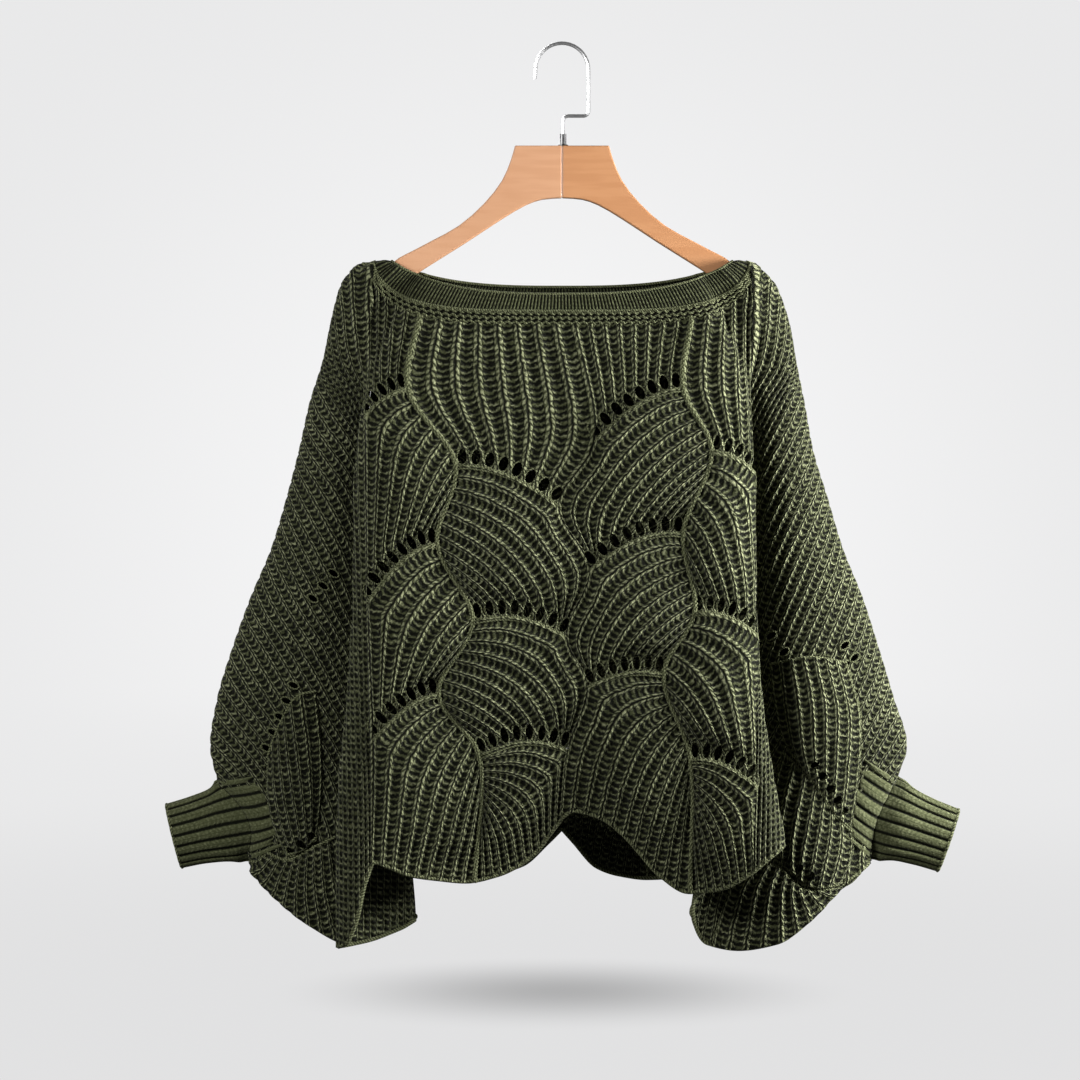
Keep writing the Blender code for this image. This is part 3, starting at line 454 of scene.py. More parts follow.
# Ribs that leave the spine, follow the shell's upper edge and end on the next row.
def shellGrid(pattern, spine, outer, above, below, past, perRib, step):
    ribs = (below.holes if below else above.holes + 1) + past
    many = ribs * perRib + 1
    k = np.linspace(0, 1, many)
    if below:
        lowArc = pattern.arc(below, 400)
        spineEnd, outerEnd = below.spineDown, below.valleyDown
        crowd = past / ribs
        share = np.where(k < crowd, 0.1 * k / crowd, 0.1 + 0.9 * (k - crowd) / (1 - crowd))
    else:
        lowArc = pattern.hemArc(spine, outer, 400)
        spineEnd, outerEnd = pattern.bottom(spine)[1], pattern.bottom(outer)[1]
        share = k
    run = runOf(lowArc)
    ends = sampledAt(lowArc, run, (1 - share) * run[-1])
    topPath = np.vstack([pattern.arc(above, 60), pattern.side(outer, above.valleyDown, outerEnd, 60)[1:]])
    long = max(8, int(runOf(topPath)[-1] / step))
    topPath = resampled(topPath, long)
    lowest = above.spineDown + (0.8 if below else 0.5) * (spineEnd - above.spineDown)
    starts = pattern.side(spine, above.spineDown, lowest, many)
    w = np.linspace(0, 1, long)
    beside = resampled(pattern.side(spine, lowest, spineEnd, 60), long)
    beside = beside - (1 - w)[:, None] * beside[0] - w[:, None] * beside[-1]
    scale = np.linalg.norm(ends - starts, axis=1) / np.linalg.norm(ends[0] - starts[0])
    scale = scale * (1 - k) ** 1.6
    bulge = topPath - (1 - w)[:, None] * topPath[0] - w[:, None] * topPath[-1]
    ease = np.clip(k / 0.4, 0, 1)
    eased = np.stack([rounded(bulge, 0.004 + 0.14 * e * e * (3 - 2 * e)) for e in ease], axis=1)
    grid = ((1 - w)[:, None, None] * starts[None] + w[:, None, None] * ends[None]
            + scale[None, :, None] * eased + (k**3)[None, :, None] * beside[:, None])
    run = np.linalg.norm(np.diff(grid, axis=0), axis=2)
    run = np.vstack([np.zeros((1, many)), np.cumsum(run, axis=0)])
    clear = np.clip((run[-1] - run - 0.8 * holeTall) / 30, 0, 1)
    dome = shellDome * np.sin(np.pi * k) ** 0.7 * np.sin(np.pi * w[:, None]) ** 0.7
    dome = dome * clear * clear * (3 - 2 * clear)
    return grid, np.broadcast_to(k * ribs, grid.shape[:2]), dome


def yokeGrid(pattern, spine, outer, below, perRib, step):
    ribs = below.holes
    many = ribs * perRib + 1
    sideA = pattern.side(spine, pattern.top(spine)[1], below.spineDown, 200)
    sideB = pattern.side(outer, pattern.top(outer)[1], below.valleyDown, 200)
    long = max(8, int(max(runOf(sideA)[-1], runOf(sideB)[-1]) / step))
    sideA, sideB = resampled(sideA, long), resampled(sideB, long)
    high, low = pattern.garterArc(spine, outer, many), pattern.arc(below, many)
    s, w = np.linspace(0, 1, many)[None, :, None], np.linspace(0, 1, long)[:, None, None]
    bentA = sideA[:, None] - (1 - w) * sideA[0] - w * sideA[-1]
    bentB = sideB[:, None] - (1 - w) * sideB[0] - w * sideB[-1]
    grid = (1 - w) * high[None] + w * low[None] + (1 - s) ** 2.2 * bentA + s**2.2 * bentB
    return grid, np.broadcast_to(s[..., 0] * ribs, grid.shape[:2]), 0.0


def sleeveGrid(pattern, side, perRib, step):
    face = pattern.face
    drape = drapes[(side, face)]
    line = pattern.lines["outerRight" if (side == right) == (face == front) else "outerLeft"]
    ribs = int((drape.reach - yokeCorner) / ribPitch)
    many = ribs * perRib + 1
    tallest = float(drape.span(yokeCorner)[1])
    long = int(tallest / step)
    c = np.linspace(0, 1, many)[None, :]
    t = np.linspace(0, 1, long)[:, None]
    nominal = yokeCorner + (drape.reach - yokeCorner) * c
    top, bottom = drape.span(nominal + 0.01)
    down = top + (bottom - top) * t
    edge = np.abs(np.interp(down, line[:, 1], line[:, 0]))
    across = edge + (drape.reach - edge) * c
    grid = np.stack([side * across, down], axis=-1)
    u = np.broadcast_to(c * ribs, across.shape)
    return grid, u


Hole = namedtuple("Hole", "across down lean wide tall")


# The eyelets of a row, each square to the row.
def holesOf(row):
    share = (np.arange(row.holes) + 0.5) / row.holes
    across, down = rowPoint(row, share)
    ahead, below = rowPoint(row, share + 0.01)
    lean = np.arctan((below - down) / (ahead - across))
    pitch = math.dist(rowPoint(row, 0.0), rowPoint(row, 1.0)) / row.holes
    up = 0.5 * holeTall + 0.6
    return [Hole(x + up * math.sin(turn), y - up * math.cos(turn), turn, holeShare * pitch, holeTall)
            for x, y, turn in zip(across, down, lean)]


def holeCoordinates(grid, hole):
    x, y = grid[..., 0] - hole.across, grid[..., 1] - hole.down
    return ((x * math.cos(hole.lean) + y * math.sin(hole.lean)) / (0.5 * hole.wide),
            (-x * math.sin(hole.lean) + y * math.cos(hole.lean)) / (0.5 * hole.tall))


def holeRim(hole, turn, grow=0.0):
    x, y = (0.5 * hole.wide + grow) * np.sin(turn), (0.5 * hole.tall + grow) * np.cos(turn)
    return np.stack([hole.across + x * math.cos(hole.lean) - y * math.sin(hole.lean),
                     hole.down + x * math.sin(hole.lean) + y * math.cos(hole.lean)], axis=-1)


# The grid drawn onto each eyelet's rim, and which of its cells the eyelets take.
def punched(grid, holes):
    grid = grid.copy()
    inside = np.zeros((grid.shape[0] - 1, grid.shape[1] - 1), bool)
    for hole in holes:
        x, y = holeCoordinates(grid, hole)
        r = np.hypot(x, y)
        near = (r > 0.05) & (r < 1.3)
        near[[0, -1]] = False
        near[:, [0, -1]] = False
        if not near.any():
            continue
        grid[near] = holeRim(hole, np.arctan2(x[near], y[near]))
        middle = (grid[:-1, :-1] + grid[1:, :-1] + grid[:-1, 1:] + grid[1:, 1:]) / 4
        x, y = holeCoordinates(middle, hole)
        inside |= np.hypot(x, y) < 0.97
    return grid, inside


# 1 on a rib's crest, 0 in the purl column between ribs.
def ribShape(u):
    apart = np.abs(u - np.round(u))
    share = np.clip((0.43 - apart) / 0.26, 0, 1)
    return share * share * (3 - 2 * share)


# The shells of a sleeve, as (distance from the centre, drop) seen from the front: the edge where
# the ribs start, the edge where they end, and the edges nearest to the body and to the cuff.
sleeveShells = {
    right: [
        {"start": [(208, 618), (245, 611), (281, 617)],
         "end": [(228, 706), (251, 736), (270, 766), (286, 782)],
         "inner": [(208, 618), (212, 655), (220, 690), (228, 706)],
         "outer": [(281, 617), (295, 672), (293, 732), (286, 782)], "ribs": 7, "rise": 7.5},
        {"start": [(221, 706), (251, 740), (270, 770), (287, 785)],
         "end": [(212, 812), (228, 824), (249, 840), (274, 838)],
         "inner": [(221, 706), (211, 745), (207, 785), (212, 812)],
         "outer": [(287, 785), (288, 800), (283, 822), (274, 838)], "ribs": 7, "rise": 6.0},
        {"start": [(188, 816), (212, 818), (240, 842), (272, 842)], "end": (150, 296),
         "inner": [(188, 816), (170, 840), (150, None)],
         "outer": [(272, 842), (286, 836), (296, None)], "ribs": 10, "rise": 6.0},
    ],
    left: [
        {"start": [(245, 645), (262, 650), (279, 677), (291, 708)],
         "end": [(244, 790), (257, 803), (273, 808)],
         "inner": [(245, 645), (240, 700), (240, 750), (244, 790)],
         "outer": [(291, 708), (292, 745), (286, 778), (273, 808)], "ribs": 6, "rise": 5.5},
        {"start": [(226, 790), (246, 800), (272, 813), (292, 806)], "end": (196, 312),
         "inner": [(226, 790), (216, 840), (196, None)],
         "outer": [(292, 806), (303, 815), (312, None)], "ribs": 10, "rise": 5.0},
    ],
}
# first and last eyelet of each sleeve row, seen from the front, how many, and their width
sleeveRows = {
    right: [((251, 717), (279, 764), 5, 6.0), ((212, 805), (246, 829), 4, 6.5),
            ((209, 590), (221, 606), 2, 6.0), ((279, 600), (289, 612), 2, 6.0)],
    left: [((266, 639), (293, 701), 5, 6.0), ((248, 789), (269, 804), 3, 6.5),
           ((228, 528), (247, 553), 3, 6.0)],
}
sleeveHoleTall = 10.5
# how far the cuff's ribs run on over the sleeve: inward and upward at their top and bottom end
gathers = {left: ((-38, -6), (-30, -14)), right: ((-34, -22), (-30, -26))}
gatherTurns = np.linspace(0.03, 0.97, 109)


def seenHoles(side):
    found = []
    for first, last, count, wide in sleeveRows[side]:
        lean = math.atan2(last[1] - first[1], last[0] - first[0])
        for share in np.linspace(0, 1, count):
            found.append(Hole(first[0] + (last[0] - first[0]) * share,
                              first[1] + (last[1] - first[1]) * share, lean, wide, sleeveHoleTall))
    return found


# The run along the cloth at which the sleeve is seen this far from the centre.
def seenAlong(drape, away, drop):
    inner = np.interp(drop, drape.levels, drape.valleyArcs)
    outer = drape.length(drop)
    share = np.linspace(0, 1, 100)
    along = inner[..., None] + (outer - inner)[..., None] * share
    seen = np.maximum.accumulate(np.abs(drape.at(along, drop[..., None])[..., 0]), axis=-1)
    low = np.clip((seen < away[..., None]).sum(axis=-1) - 1, 0, len(share) - 2)[..., None]
    x0, x1 = np.take_along_axis(seen, low, -1)[..., 0], np.take_along_axis(seen, low + 1, -1)[..., 0]
    part = np.clip((away - x0) / np.maximum(x1 - x0, 1e-6), 0, 1)
    return inner + (outer - inner) * (low[..., 0] + part) / (len(share) - 1)


# The drop of the hem where the sleeve is seen this far from the centre.
def hemSeen(drape, away):
    along = np.linspace(float(drape.valleyArcs[-1]), drape.cuffAlong, 400)
    drop = drape.hemDrop(along)
    seen = np.abs(drape.at(along, drop)[..., 0])
    order = np.argsort(seen)
    return np.interp(away, seen[order], drop[order])


def shellEdge(drape, points, count):
    if isinstance(points[0], tuple):
        points = [(x, float(hemSeen(drape, x)) if y is None else y) for x, y in points]
        return resampled(through(points, 12), count)
    away = np.linspace(*points, 60)
    return resampled(np.stack([away, hemSeen(drape, away)], axis=1), count)


def sleeveShellGrid(drape, shell, perRib, step):
    many = shell["ribs"] * perRib + 1
    inner, outer = (shellEdge(drape, shell[name], 120) for name in ("inner", "outer"))
    long = int(max(runOf(inner)[-1], runOf(outer)[-1]) / step)
    inner, outer = resampled(inner, long), resampled(outer, long)
    start, end = shellEdge(drape, shell["start"], many), shellEdge(drape, shell["end"], many)
    s, w = np.linspace(0, 1, many)[None, :, None], np.linspace(0, 1, long)[:, None, None]
    bentA = inner[:, None] - (1 - w) * inner[0] - w * inner[-1]
    bentB = outer[:, None] - (1 - w) * outer[0] - w * outer[-1]
    grid = (1 - w) * start[None] + w * end[None] + (1 - s) * bentA + s * bentB
    s, w = s[..., 0], w[..., 0]
    dome = np.clip(np.sin(math.pi * (0.06 + 0.88 * s)), 0, 1)
    dome = dome * np.clip(np.sin(math.pi * (0.10 + 0.72 * w)), 0, 1)
    return grid, np.broadcast_to(s * shell["ribs"], grid.shape[:2]), shell["rise"] * dome**0.8


# Share of the cuff's height at each share of its half ring: closer at top and bottom.
def cuffShare(turns):
    return 0.4 * turns + 0.6 * (0.5 - 0.5 * np.cos(np.pi * turns))


# Places of the cuff's gathered ribs on the sleeve, from the sleeve to the cuff.
def gatherGrid(side, face):
    share = cuffShare(gatherTurns)
    points = sleeveEnd(side, face, share)[0]
    join = np.stack([np.abs(points[:, 0]) - 1.0, -points[:, 2]], axis=1)
    upper, lower = (np.array(shift, float) for shift in gathers[side])
    w = np.linspace(0, 1, 16)[:, None, None]
    ragged = 1 + 0.16 * np.sin(9 * np.pi * gatherTurns + 0.8) + 0.1 * np.sin(23 * gatherTurns)
    shift = (upper + (lower - upper) * share[:, None]) * ragged[:, None]
    bend = np.stack([0 * share, 7.0 * np.sin(math.pi * share)], axis=1)
    return join[None] + (1 - w) * (shift + bend * w)


# Which cells of a grid have all four corners shown and inside a closed ring.
def coveredCells(grid, shown, ring):
    x, y = grid[..., 0], grid[..., 1]
    found = np.zeros(x.shape, bool)
    for (x0, y0), (x1, y1) in zip(ring, np.roll(ring, -1, axis=0)):
        crosses = (y0 > y) != (y1 > y)
        with np.errstate(divide="ignore", invalid="ignore"):
            found ^= crosses & (x < (x1 - x0) * (y - y0) / (y1 - y0) + x0)
    found &= shown
    return found[:-1, :-1] & found[1:, :-1] & found[:-1, 1:] & found[1:, 1:]


# How far the cloth stands out below its eyelet rows.
def shellLift(pattern, across, down):
    lift = np.zeros(across.shape)
    for row in pattern.rows.values():
        share = (across - row.spineAcross) / (row.valleyAcross - row.spineAcross)
        within = (share > -0.03) & (share < 1.03)
        below = down - rowPoint(row, np.clip(share, 0, 1))[1]
        shape = np.clip((below + 3.0) / 5.0, 0, 1) * np.clip(1 - np.maximum(below, 0) / shellFade, 0, 1) ** 2
        edge = np.clip(np.minimum(share, 1 - share) / 0.12 + 0.25, 0, 1)
        lift += np.where(within & (below > -3), shellRise * shape * edge, 0)
    return lift


print("pattern ready")


# A mesh made of grids and tubes, with their knit coordinates as its UV map.
class Sheet:
    def __init__(self, name):
        self.name, self.bm, self.uvs = name, bmesh.new(), []

    def grid(self, points, u, v, outward, gaps=None):
        high, wide = points.shape[:2]
        made = bmesh.ops.create_grid(self.bm, x_segments=wide - 1, y_segments=high - 1, size=1.0)["verts"]
        for vert, point in zip(made, points.reshape(-1, 3) * mm):
            vert.co = point
        self.uvs.append(np.stack([np.ravel(u), np.ravel(v)], axis=1))
        i, j = high // 2, wide // 2
        facing = np.cross(points[i, j] - points[i, j - 1], points[i, j] - points[i - 1, j]) @ outward[i, j]
        if facing < 0:
            faces = list({face for vert in made for face in vert.link_faces})
            bmesh.ops.reverse_faces(self.bm, faces=faces)
        if gaps is not None and gaps.any():
            start = len(self.bm.verts) - high * wide
            self.bm.verts.ensure_lookup_table()
            doomed = []
            for i, j in zip(*np.nonzero(gaps)):
                corner = self.bm.verts[start + i * wide + j]
                across = self.bm.verts[start + (i + 1) * wide + j + 1]
                doomed += [f for f in corner.link_faces if across in f.verts]
            bmesh.ops.delete(self.bm, geom=doomed, context="FACES_ONLY")

    # One strip for each rib, so that its rows of stitches stay square to it.
    def ribbed(self, points, u, outward, gaps, perRib):
        for first in range(0, points.shape[1] - 1, perRib):
            strip = points[:, first:first + perRib + 1]
            middle = strip[:, perRib // 2]
            along = np.gradient(middle, axis=0)
            along /= np.linalg.norm(along, axis=1, keepdims=True) + 1e-9
            aside = ((strip - middle[:, None]) * along[:, None]).sum(axis=2)
            v = (runOf(middle)[:, None] + aside) / rowPitch
            taken = None if gaps is None else gaps[:, first:first + perRib]
            last = first + perRib + 1
            self.grid(strip, u[:, first:last], v, outward[:, first:last], taken)

    def tube(self, path, normals, radius, sides=6, pitch=3.0):
        along = np.gradient(path, axis=0)
        along /= np.linalg.norm(along, axis=1, keepdims=True) + 1e-9
        across = np.cross(along, normals)
        across /= np.linalg.norm(across, axis=1, keepdims=True) + 1e-9
        up = np.cross(across, along)
        turn = np.linspace(0, 2 * np.pi, sides + 1)
        radius = np.broadcast_to(radius, (len(path),))[:, None, None]
        ring = np.cos(turn)[None, :, None] * across[:, None] + np.sin(turn)[None, :, None] * up[:, None]
        run = runOf(path)
        u = np.broadcast_to(turn / (2 * np.pi), (len(path), sides + 1))
        v = np.broadcast_to(run[:, None] / pitch, u.shape)
        self.grid(path[:, None] + radius * ring, u, v, ring)

    def twist(self, path, normals, radius=1.45, apart=1.55, pitch=6.6):
        run = runOf(path)
        along = np.gradient(path, axis=0)
        across = np.cross(along, normals)
        across /= np.linalg.norm(across, axis=1, keepdims=True) + 1e-9
        phase = 2 * np.pi * run / pitch
        for sign in (1, -1):
            wound = np.cos(phase)[:, None] * across + 0.7 * np.sin(phase)[:, None] * normals
            offset = sign * apart * wound
            self.tube(path + offset, normals, radius, 5)

    def done(self, material):
        mesh = bpy.data.meshes.new(self.name)
        loose = [v for v in self.bm.verts if not v.link_faces]
        self.bm.verts.index_update()
        keep = np.ones(len(self.bm.verts), bool)
        keep[[v.index for v in loose]] = False
        bmesh.ops.delete(self.bm, geom=loose, context="VERTS")
        self.bm.to_mesh(mesh)
        self.bm.free()
        uv = np.concatenate(self.uvs)[keep]
        index = np.empty(len(mesh.loops), np.int32)
        mesh.loops.foreach_get("vertex_index", index)
        layer = mesh.uv_layers.new(name="knit")
        layer.data.foreach_set("uv", uv[index].astype(np.float32).ravel())
        mesh.shade_smooth()
        mesh.materials.append(material)
        obj = bpy.data.objects.new(self.name, mesh)
        bpy.context.scene.collection.objects.link(obj)
        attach(obj, "root")
        print(self.name, sum(len(p.vertices) - 2 for p in mesh.polygons), "triangles")
        return obj


# Points of the knitted surface over the hanging cloth, and its outward normals.
def dressed(pattern, grid, u, lift, rise=ribRise):
    points, normals, fold = hung(pattern.face, grid[..., 0], grid[..., 1])
    clear = 1 - 0.75 * fold
    height = clothLift + (lift + rise * ribShape(u)) * clear
    return points + normals * height[..., None], normals


def onCloth(pattern, path, height):
    points, normals, _ = hung(pattern.face, path[:, 0], path[:, 1])
    lift = shellLift(pattern, path[:, 0], path[:, 1])
    return points + normals * (clothLift + lift + height)[:, None], normals


def bodySheet(pattern, name, perRib, step):
    sheet = Sheet(name)
    for spine, outer, names, past in columns:
        chain = [pattern.rows[n] for n in names]
        parts = [(yokeGrid(pattern, spine, outer, chain[0], perRib, step), chain[0])]
        for above, below in zip(chain, chain[1:] + [None]):
            parts.append((shellGrid(pattern, spine, outer, above, below, past, perRib, step), below))
        for (grid, u, dome), below in parts:
            gaps = None
            if below:
                grid, gaps = punched(grid, holesOf(below))
            lift = shellLift(pattern, grid[..., 0], grid[..., 1]) + dome
            points, normals = dressed(pattern, grid, u, lift)
            sheet.ribbed(points, u, normals, gaps, perRib)
    across = np.linspace(-yokeCorner + 0.5, yokeCorner - 0.5, 170)
    down = topDown(pattern.face, across) + np.linspace(0, garter, 6)[:, None]
    grid = np.stack([np.broadcast_to(across, down.shape), down], axis=-1)
    dark = np.full(down.shape, 0.5)
    points, normals = dressed(pattern, grid, dark, 0.0, 0.4)
    sheet.grid(points, dark, dark + 0.2, normals)
    return sheet


# Points and normals of the sleeve at places given as they are seen from the front.
def seenCloth(drape, grid):
    along = seenAlong(drape, grid[..., 0], grid[..., 1])
    return drape.at(along, grid[..., 1]), drape.outward(along, grid[..., 1])


def sleeveSheet(sheet, pattern, perRib, step):
    for side in (left, right):
        drape = drapes[(side, pattern.face)]
        seenSide = side if pattern.face == front else -side
        grid, u = sleeveGrid(pattern, side, perRib, step)
        points, normals, fold = hung(pattern.face, grid[..., 0], grid[..., 1])
        along, drop = drape.flat(np.abs(grid[..., 0]), grid[..., 1])
        seen = np.stack([np.abs(points[..., 0]), drop], axis=-1)
        shown = along > np.interp(drop, drape.levels, drape.valleyArcs) + 2
        holes = seenHoles(seenSide)
        moved, gaps = punched(np.where(shown[..., None], seen, -999.0), holes)
        changed = shown & (np.abs(moved - seen).max(axis=-1) > 1e-6)
        points[changed], normals[changed] = seenCloth(drape, moved[changed])
        for shell in sleeveShells[seenSide]:
            edges = [shellEdge(drape, shell[name], 30) for name in ("start", "outer", "end", "inner")]
            ring = np.vstack([edges[0], edges[1], edges[2][::-1], edges[3][::-1]])
            ring = ring.mean(axis=0) + 0.9 * (ring - ring.mean(axis=0))
            gaps |= coveredCells(seen, shown, ring)
        places = gatherGrid(side, pattern.face)
        beyond = places[-1] + 3 * (places[-1] - places[-2])
        ring = np.vstack([places[4:, 14], beyond[14:-14], places[:3:-1, -15], places[4, -15:14:-1]])
        gaps |= coveredCells(seen, shown, ring)
        height = clothLift + sleeveRibRise * ribShape(u) * (1 - 0.75 * fold)
        sheet.ribbed(points + normals * height[..., None], u, normals, gaps, perRib)
        for shell in sleeveShells[seenSide]:
            grid, u, lift = sleeveShellGrid(drape, shell, perRib, 0.8 * step)
            grid, gaps = punched(grid, holes)
            points, normals = seenCloth(drape, grid)
            beside = np.clip(np.minimum(u, shell["ribs"] - u) / 1.2, 0, 1)
            height = clothLift + 2.2 * beside + lift + ribRise * ribShape(u)
            sheet.ribbed(points + normals * height[..., None], u, normals, gaps, perRib)


# Raised double strands on the spines, the cord under each row, and the eyelets' rims.
def yarnSheet(pattern, name):
    sheet = Sheet(name)
    turn = np.linspace(0, 2 * np.pi, 15)
    for line in ("spineLeft", "spineRight"):
        path = resampled(pattern.lines[line], 330)
        sheet.twist(*onCloth(pattern, path, 2.6))
    for row in pattern.rows.values():
        for below, radius in ((1.0, 1.15), (4.0, 0.95)):
            path = pattern.arc(row, int(row.holes * 8))
            path[:, 1] += below
            sheet.tube(*onCloth(pattern, path, 2.0), radius, 5)
        for hole in holesOf(row):
            sheet.tube(*onCloth(pattern, holeRim(hole, turn, 0.5), 1.4), 0.85, 5)
    for side in (left, right):
        drape = drapes[(side, pattern.face)]
        seenSide = side if pattern.face == front else -side
        for hole in seenHoles(seenSide):
            points, normals = seenCloth(drape, holeRim(hole, turn, 0.5))
            sheet.tube(points + normals * 4.5, normals, 0.9, 5)
        for shell in sleeveShells[seenSide]:
            for edge, radius in (("start", 1.5), ("inner", 1.1), ("outer", 1.3), ("end", 1.3)):
                if edge == "end" and isinstance(shell["end"][0], int):
                    continue
                path = shellEdge(drape, shell[edge], 50)
                points, normals = seenCloth(drape, path)
                height = 3.0 if edge in ("inner", "outer") else 4.6
                sheet.tube(points + normals * height, normals, radius, 5)
        across = np.linspace(0, drape.reach - 1, 330)
        path = np.stack([side * across, hemDown(pattern.face, side * across) - 1.0], axis=1)
        sheet.tube(*onCloth(pattern, path, 0.3), 2.1, 6)
    for depth in (2.8, 7.6, 12.4):
        across = np.linspace(-yokeCorner + 0.5, yokeCorner - 0.5, 360)
        wave = 1.0 * np.sin(2 * np.pi * across / 7.5 + depth)
        path = np.stack([across, topDown(pattern.face, across) + depth + wave], axis=1)
        sheet.tube(*onCloth(pattern, path, 1.4 + 0.6 * np.cos(2 * np.pi * across / 7.5 + depth)), 1.25, 5)
    for side in (left, right):
        drape = drapes[(side, pattern.face)]
        across = np.linspace(yokeCorner, drape.reach - 2, 230)
        if pattern.face == front:
            path = np.stack([side * across, 0 * across + 0.5], axis=1)
            points, normals = onCloth(pattern, path, 0.2)
            points[:, 1] = 0.0
            lumps = 2.3 + 0.7 * np.sin(across / 1.15)
            sheet.tube(points, normals, lumps, 8)
    return sheet


def shaderOf(name):
    material = bpy.data.materials.new(name)
    material.use_nodes = True
    tree = material.node_tree
    return material, tree, tree.nodes["Principled BSDF"]


# Short calls that add and join shader nodes.
class Nodes:
    def __init__(self, tree):
        self.tree = tree

    def feed(self, socket, value):
        if hasattr(value, "links"):
            self.tree.links.new(value, socket)
        elif hasattr(value, "__len__") and len(value) == 3 and socket.type != "VECTOR":
            socket.default_value = (*value, 1.0)
        else:
            socket.default_value = value

    def math(self, operation, a, b=0.0, c=0.0):
        node = self.tree.nodes.new("ShaderNodeMath")
        node.operation = operation
        for socket, value in zip(node.inputs, (a, b, c)):
            self.feed(socket, value)
        return node.outputs[0]

    def place(self, kind="Object"):
        return self.tree.nodes.new("ShaderNodeTexCoord").outputs[kind]

    def vector(self, operation, a, b=(0, 0, 0), output="Vector"):
        node = self.tree.nodes.new("ShaderNodeVectorMath")
        node.operation = operation
        self.feed(node.inputs[0], a)
        self.feed(node.inputs[1], b)
        return node.outputs[output]

    # one lump for each whole number
    def wave(self, value):
        return self.math("ABSOLUTE", self.math("SINE", self.math("MULTIPLY", value, math.pi)))

    def noise(self, vector, scale, detail=2.0, rough=0.5):
        node = self.tree.nodes.new("ShaderNodeTexNoise")
        self.feed(node.inputs["Vector"], vector)
        self.feed(node.inputs["Scale"], scale)
        self.feed(node.inputs["Detail"], detail)
        self.feed(node.inputs["Roughness"], rough)
        return node.outputs["Fac"]

    def ease(self, value, low, high, toLow=0.0, toHigh=1.0):
        node = self.tree.nodes.new("ShaderNodeMapRange")
        node.interpolation_type = "SMOOTHSTEP"
        for key, given in (("Value", value), ("From Min", low), ("From Max", high),
                           ("To Min", toLow), ("To Max", toHigh)):
            self.feed(node.inputs[key], given)
        return node.outputs["Result"]

    def mix(self, share, a, b):
        node = self.tree.nodes.new("ShaderNodeMix")
        node.data_type = "RGBA"
        self.feed(node.inputs["Factor"], share)
        self.feed(node.inputs[6], a)
        self.feed(node.inputs[7], b)
        return node.outputs[2]

    def bump(self, height, distance, strength=1.0, normal=None):
        node = self.tree.nodes.new("ShaderNodeBump")
        self.feed(node.inputs["Height"], height)
        self.feed(node.inputs["Distance"], distance)
        self.feed(node.inputs["Strength"], strength)
        if normal is not None:
            self.feed(node.inputs["Normal"], normal)
        return node.outputs["Normal"]


# Knit colours: painted shade for the pits (dark), the yarn's own tone (middle) and a painted highlight for
# the crests (light).
yarn = {"dark": (0.0034, 0.0040, 0.0014), "middle": (0.052, 0.058, 0.0258), "light": (0.27, 0.285, 0.161)}


def knitCoordinates(n, tree):
    uv = tree.nodes.new("ShaderNodeUVMap")
    uv.uv_map = "knit"
    place = tree.nodes.new("ShaderNodeSeparateXYZ")
    tree.links.new(uv.outputs[0], place.inputs[0])
    coordinates = n.place()
    return place, coordinates


# Colour by height, for every knit, rib and strand material: painted shade in the low pits between stitches,
# the yarn's own tone between, and a painted highlight on the crests; loose fibres and a dull sheen.
def finishKnit(n, tree, shader, height, coordinates, distance):
    fine = n.noise(coordinates, 430.0, 3.0, 0.65)
    slow = n.noise(coordinates, 18.0, 2.0)
    shaped = n.math("MULTIPLY_ADD", n.math("SUBTRACT", fine, 0.5), 0.62, height)
    # painted shade: the low places darken from the yarn's tone to near black
    colour = n.mix(n.ease(shaped, 0.12, 0.5), yarn["dark"], yarn["middle"])
    # painted highlight on the crests, its strength varied at random
    paintedHighlight = n.math("MULTIPLY", n.ease(shaped, 0.48, 1.0), n.ease(slow, 0.3, 0.7, 0.7, 1.0))
    colour = n.mix(paintedHighlight, colour, yarn["light"])
    tree.links.new(colour, shader.inputs["Base Color"])
    shader.inputs["Roughness"].default_value = 0.9
    shader.inputs["Specular IOR Level"].default_value = 0.06
    shader.inputs["Sheen Weight"].default_value = 0.03
    shader.inputs["Sheen Roughness"].default_value = 0.6
    tree.links.new(n.bump(shaped, distance, 1.0), shader.inputs["Normal"])


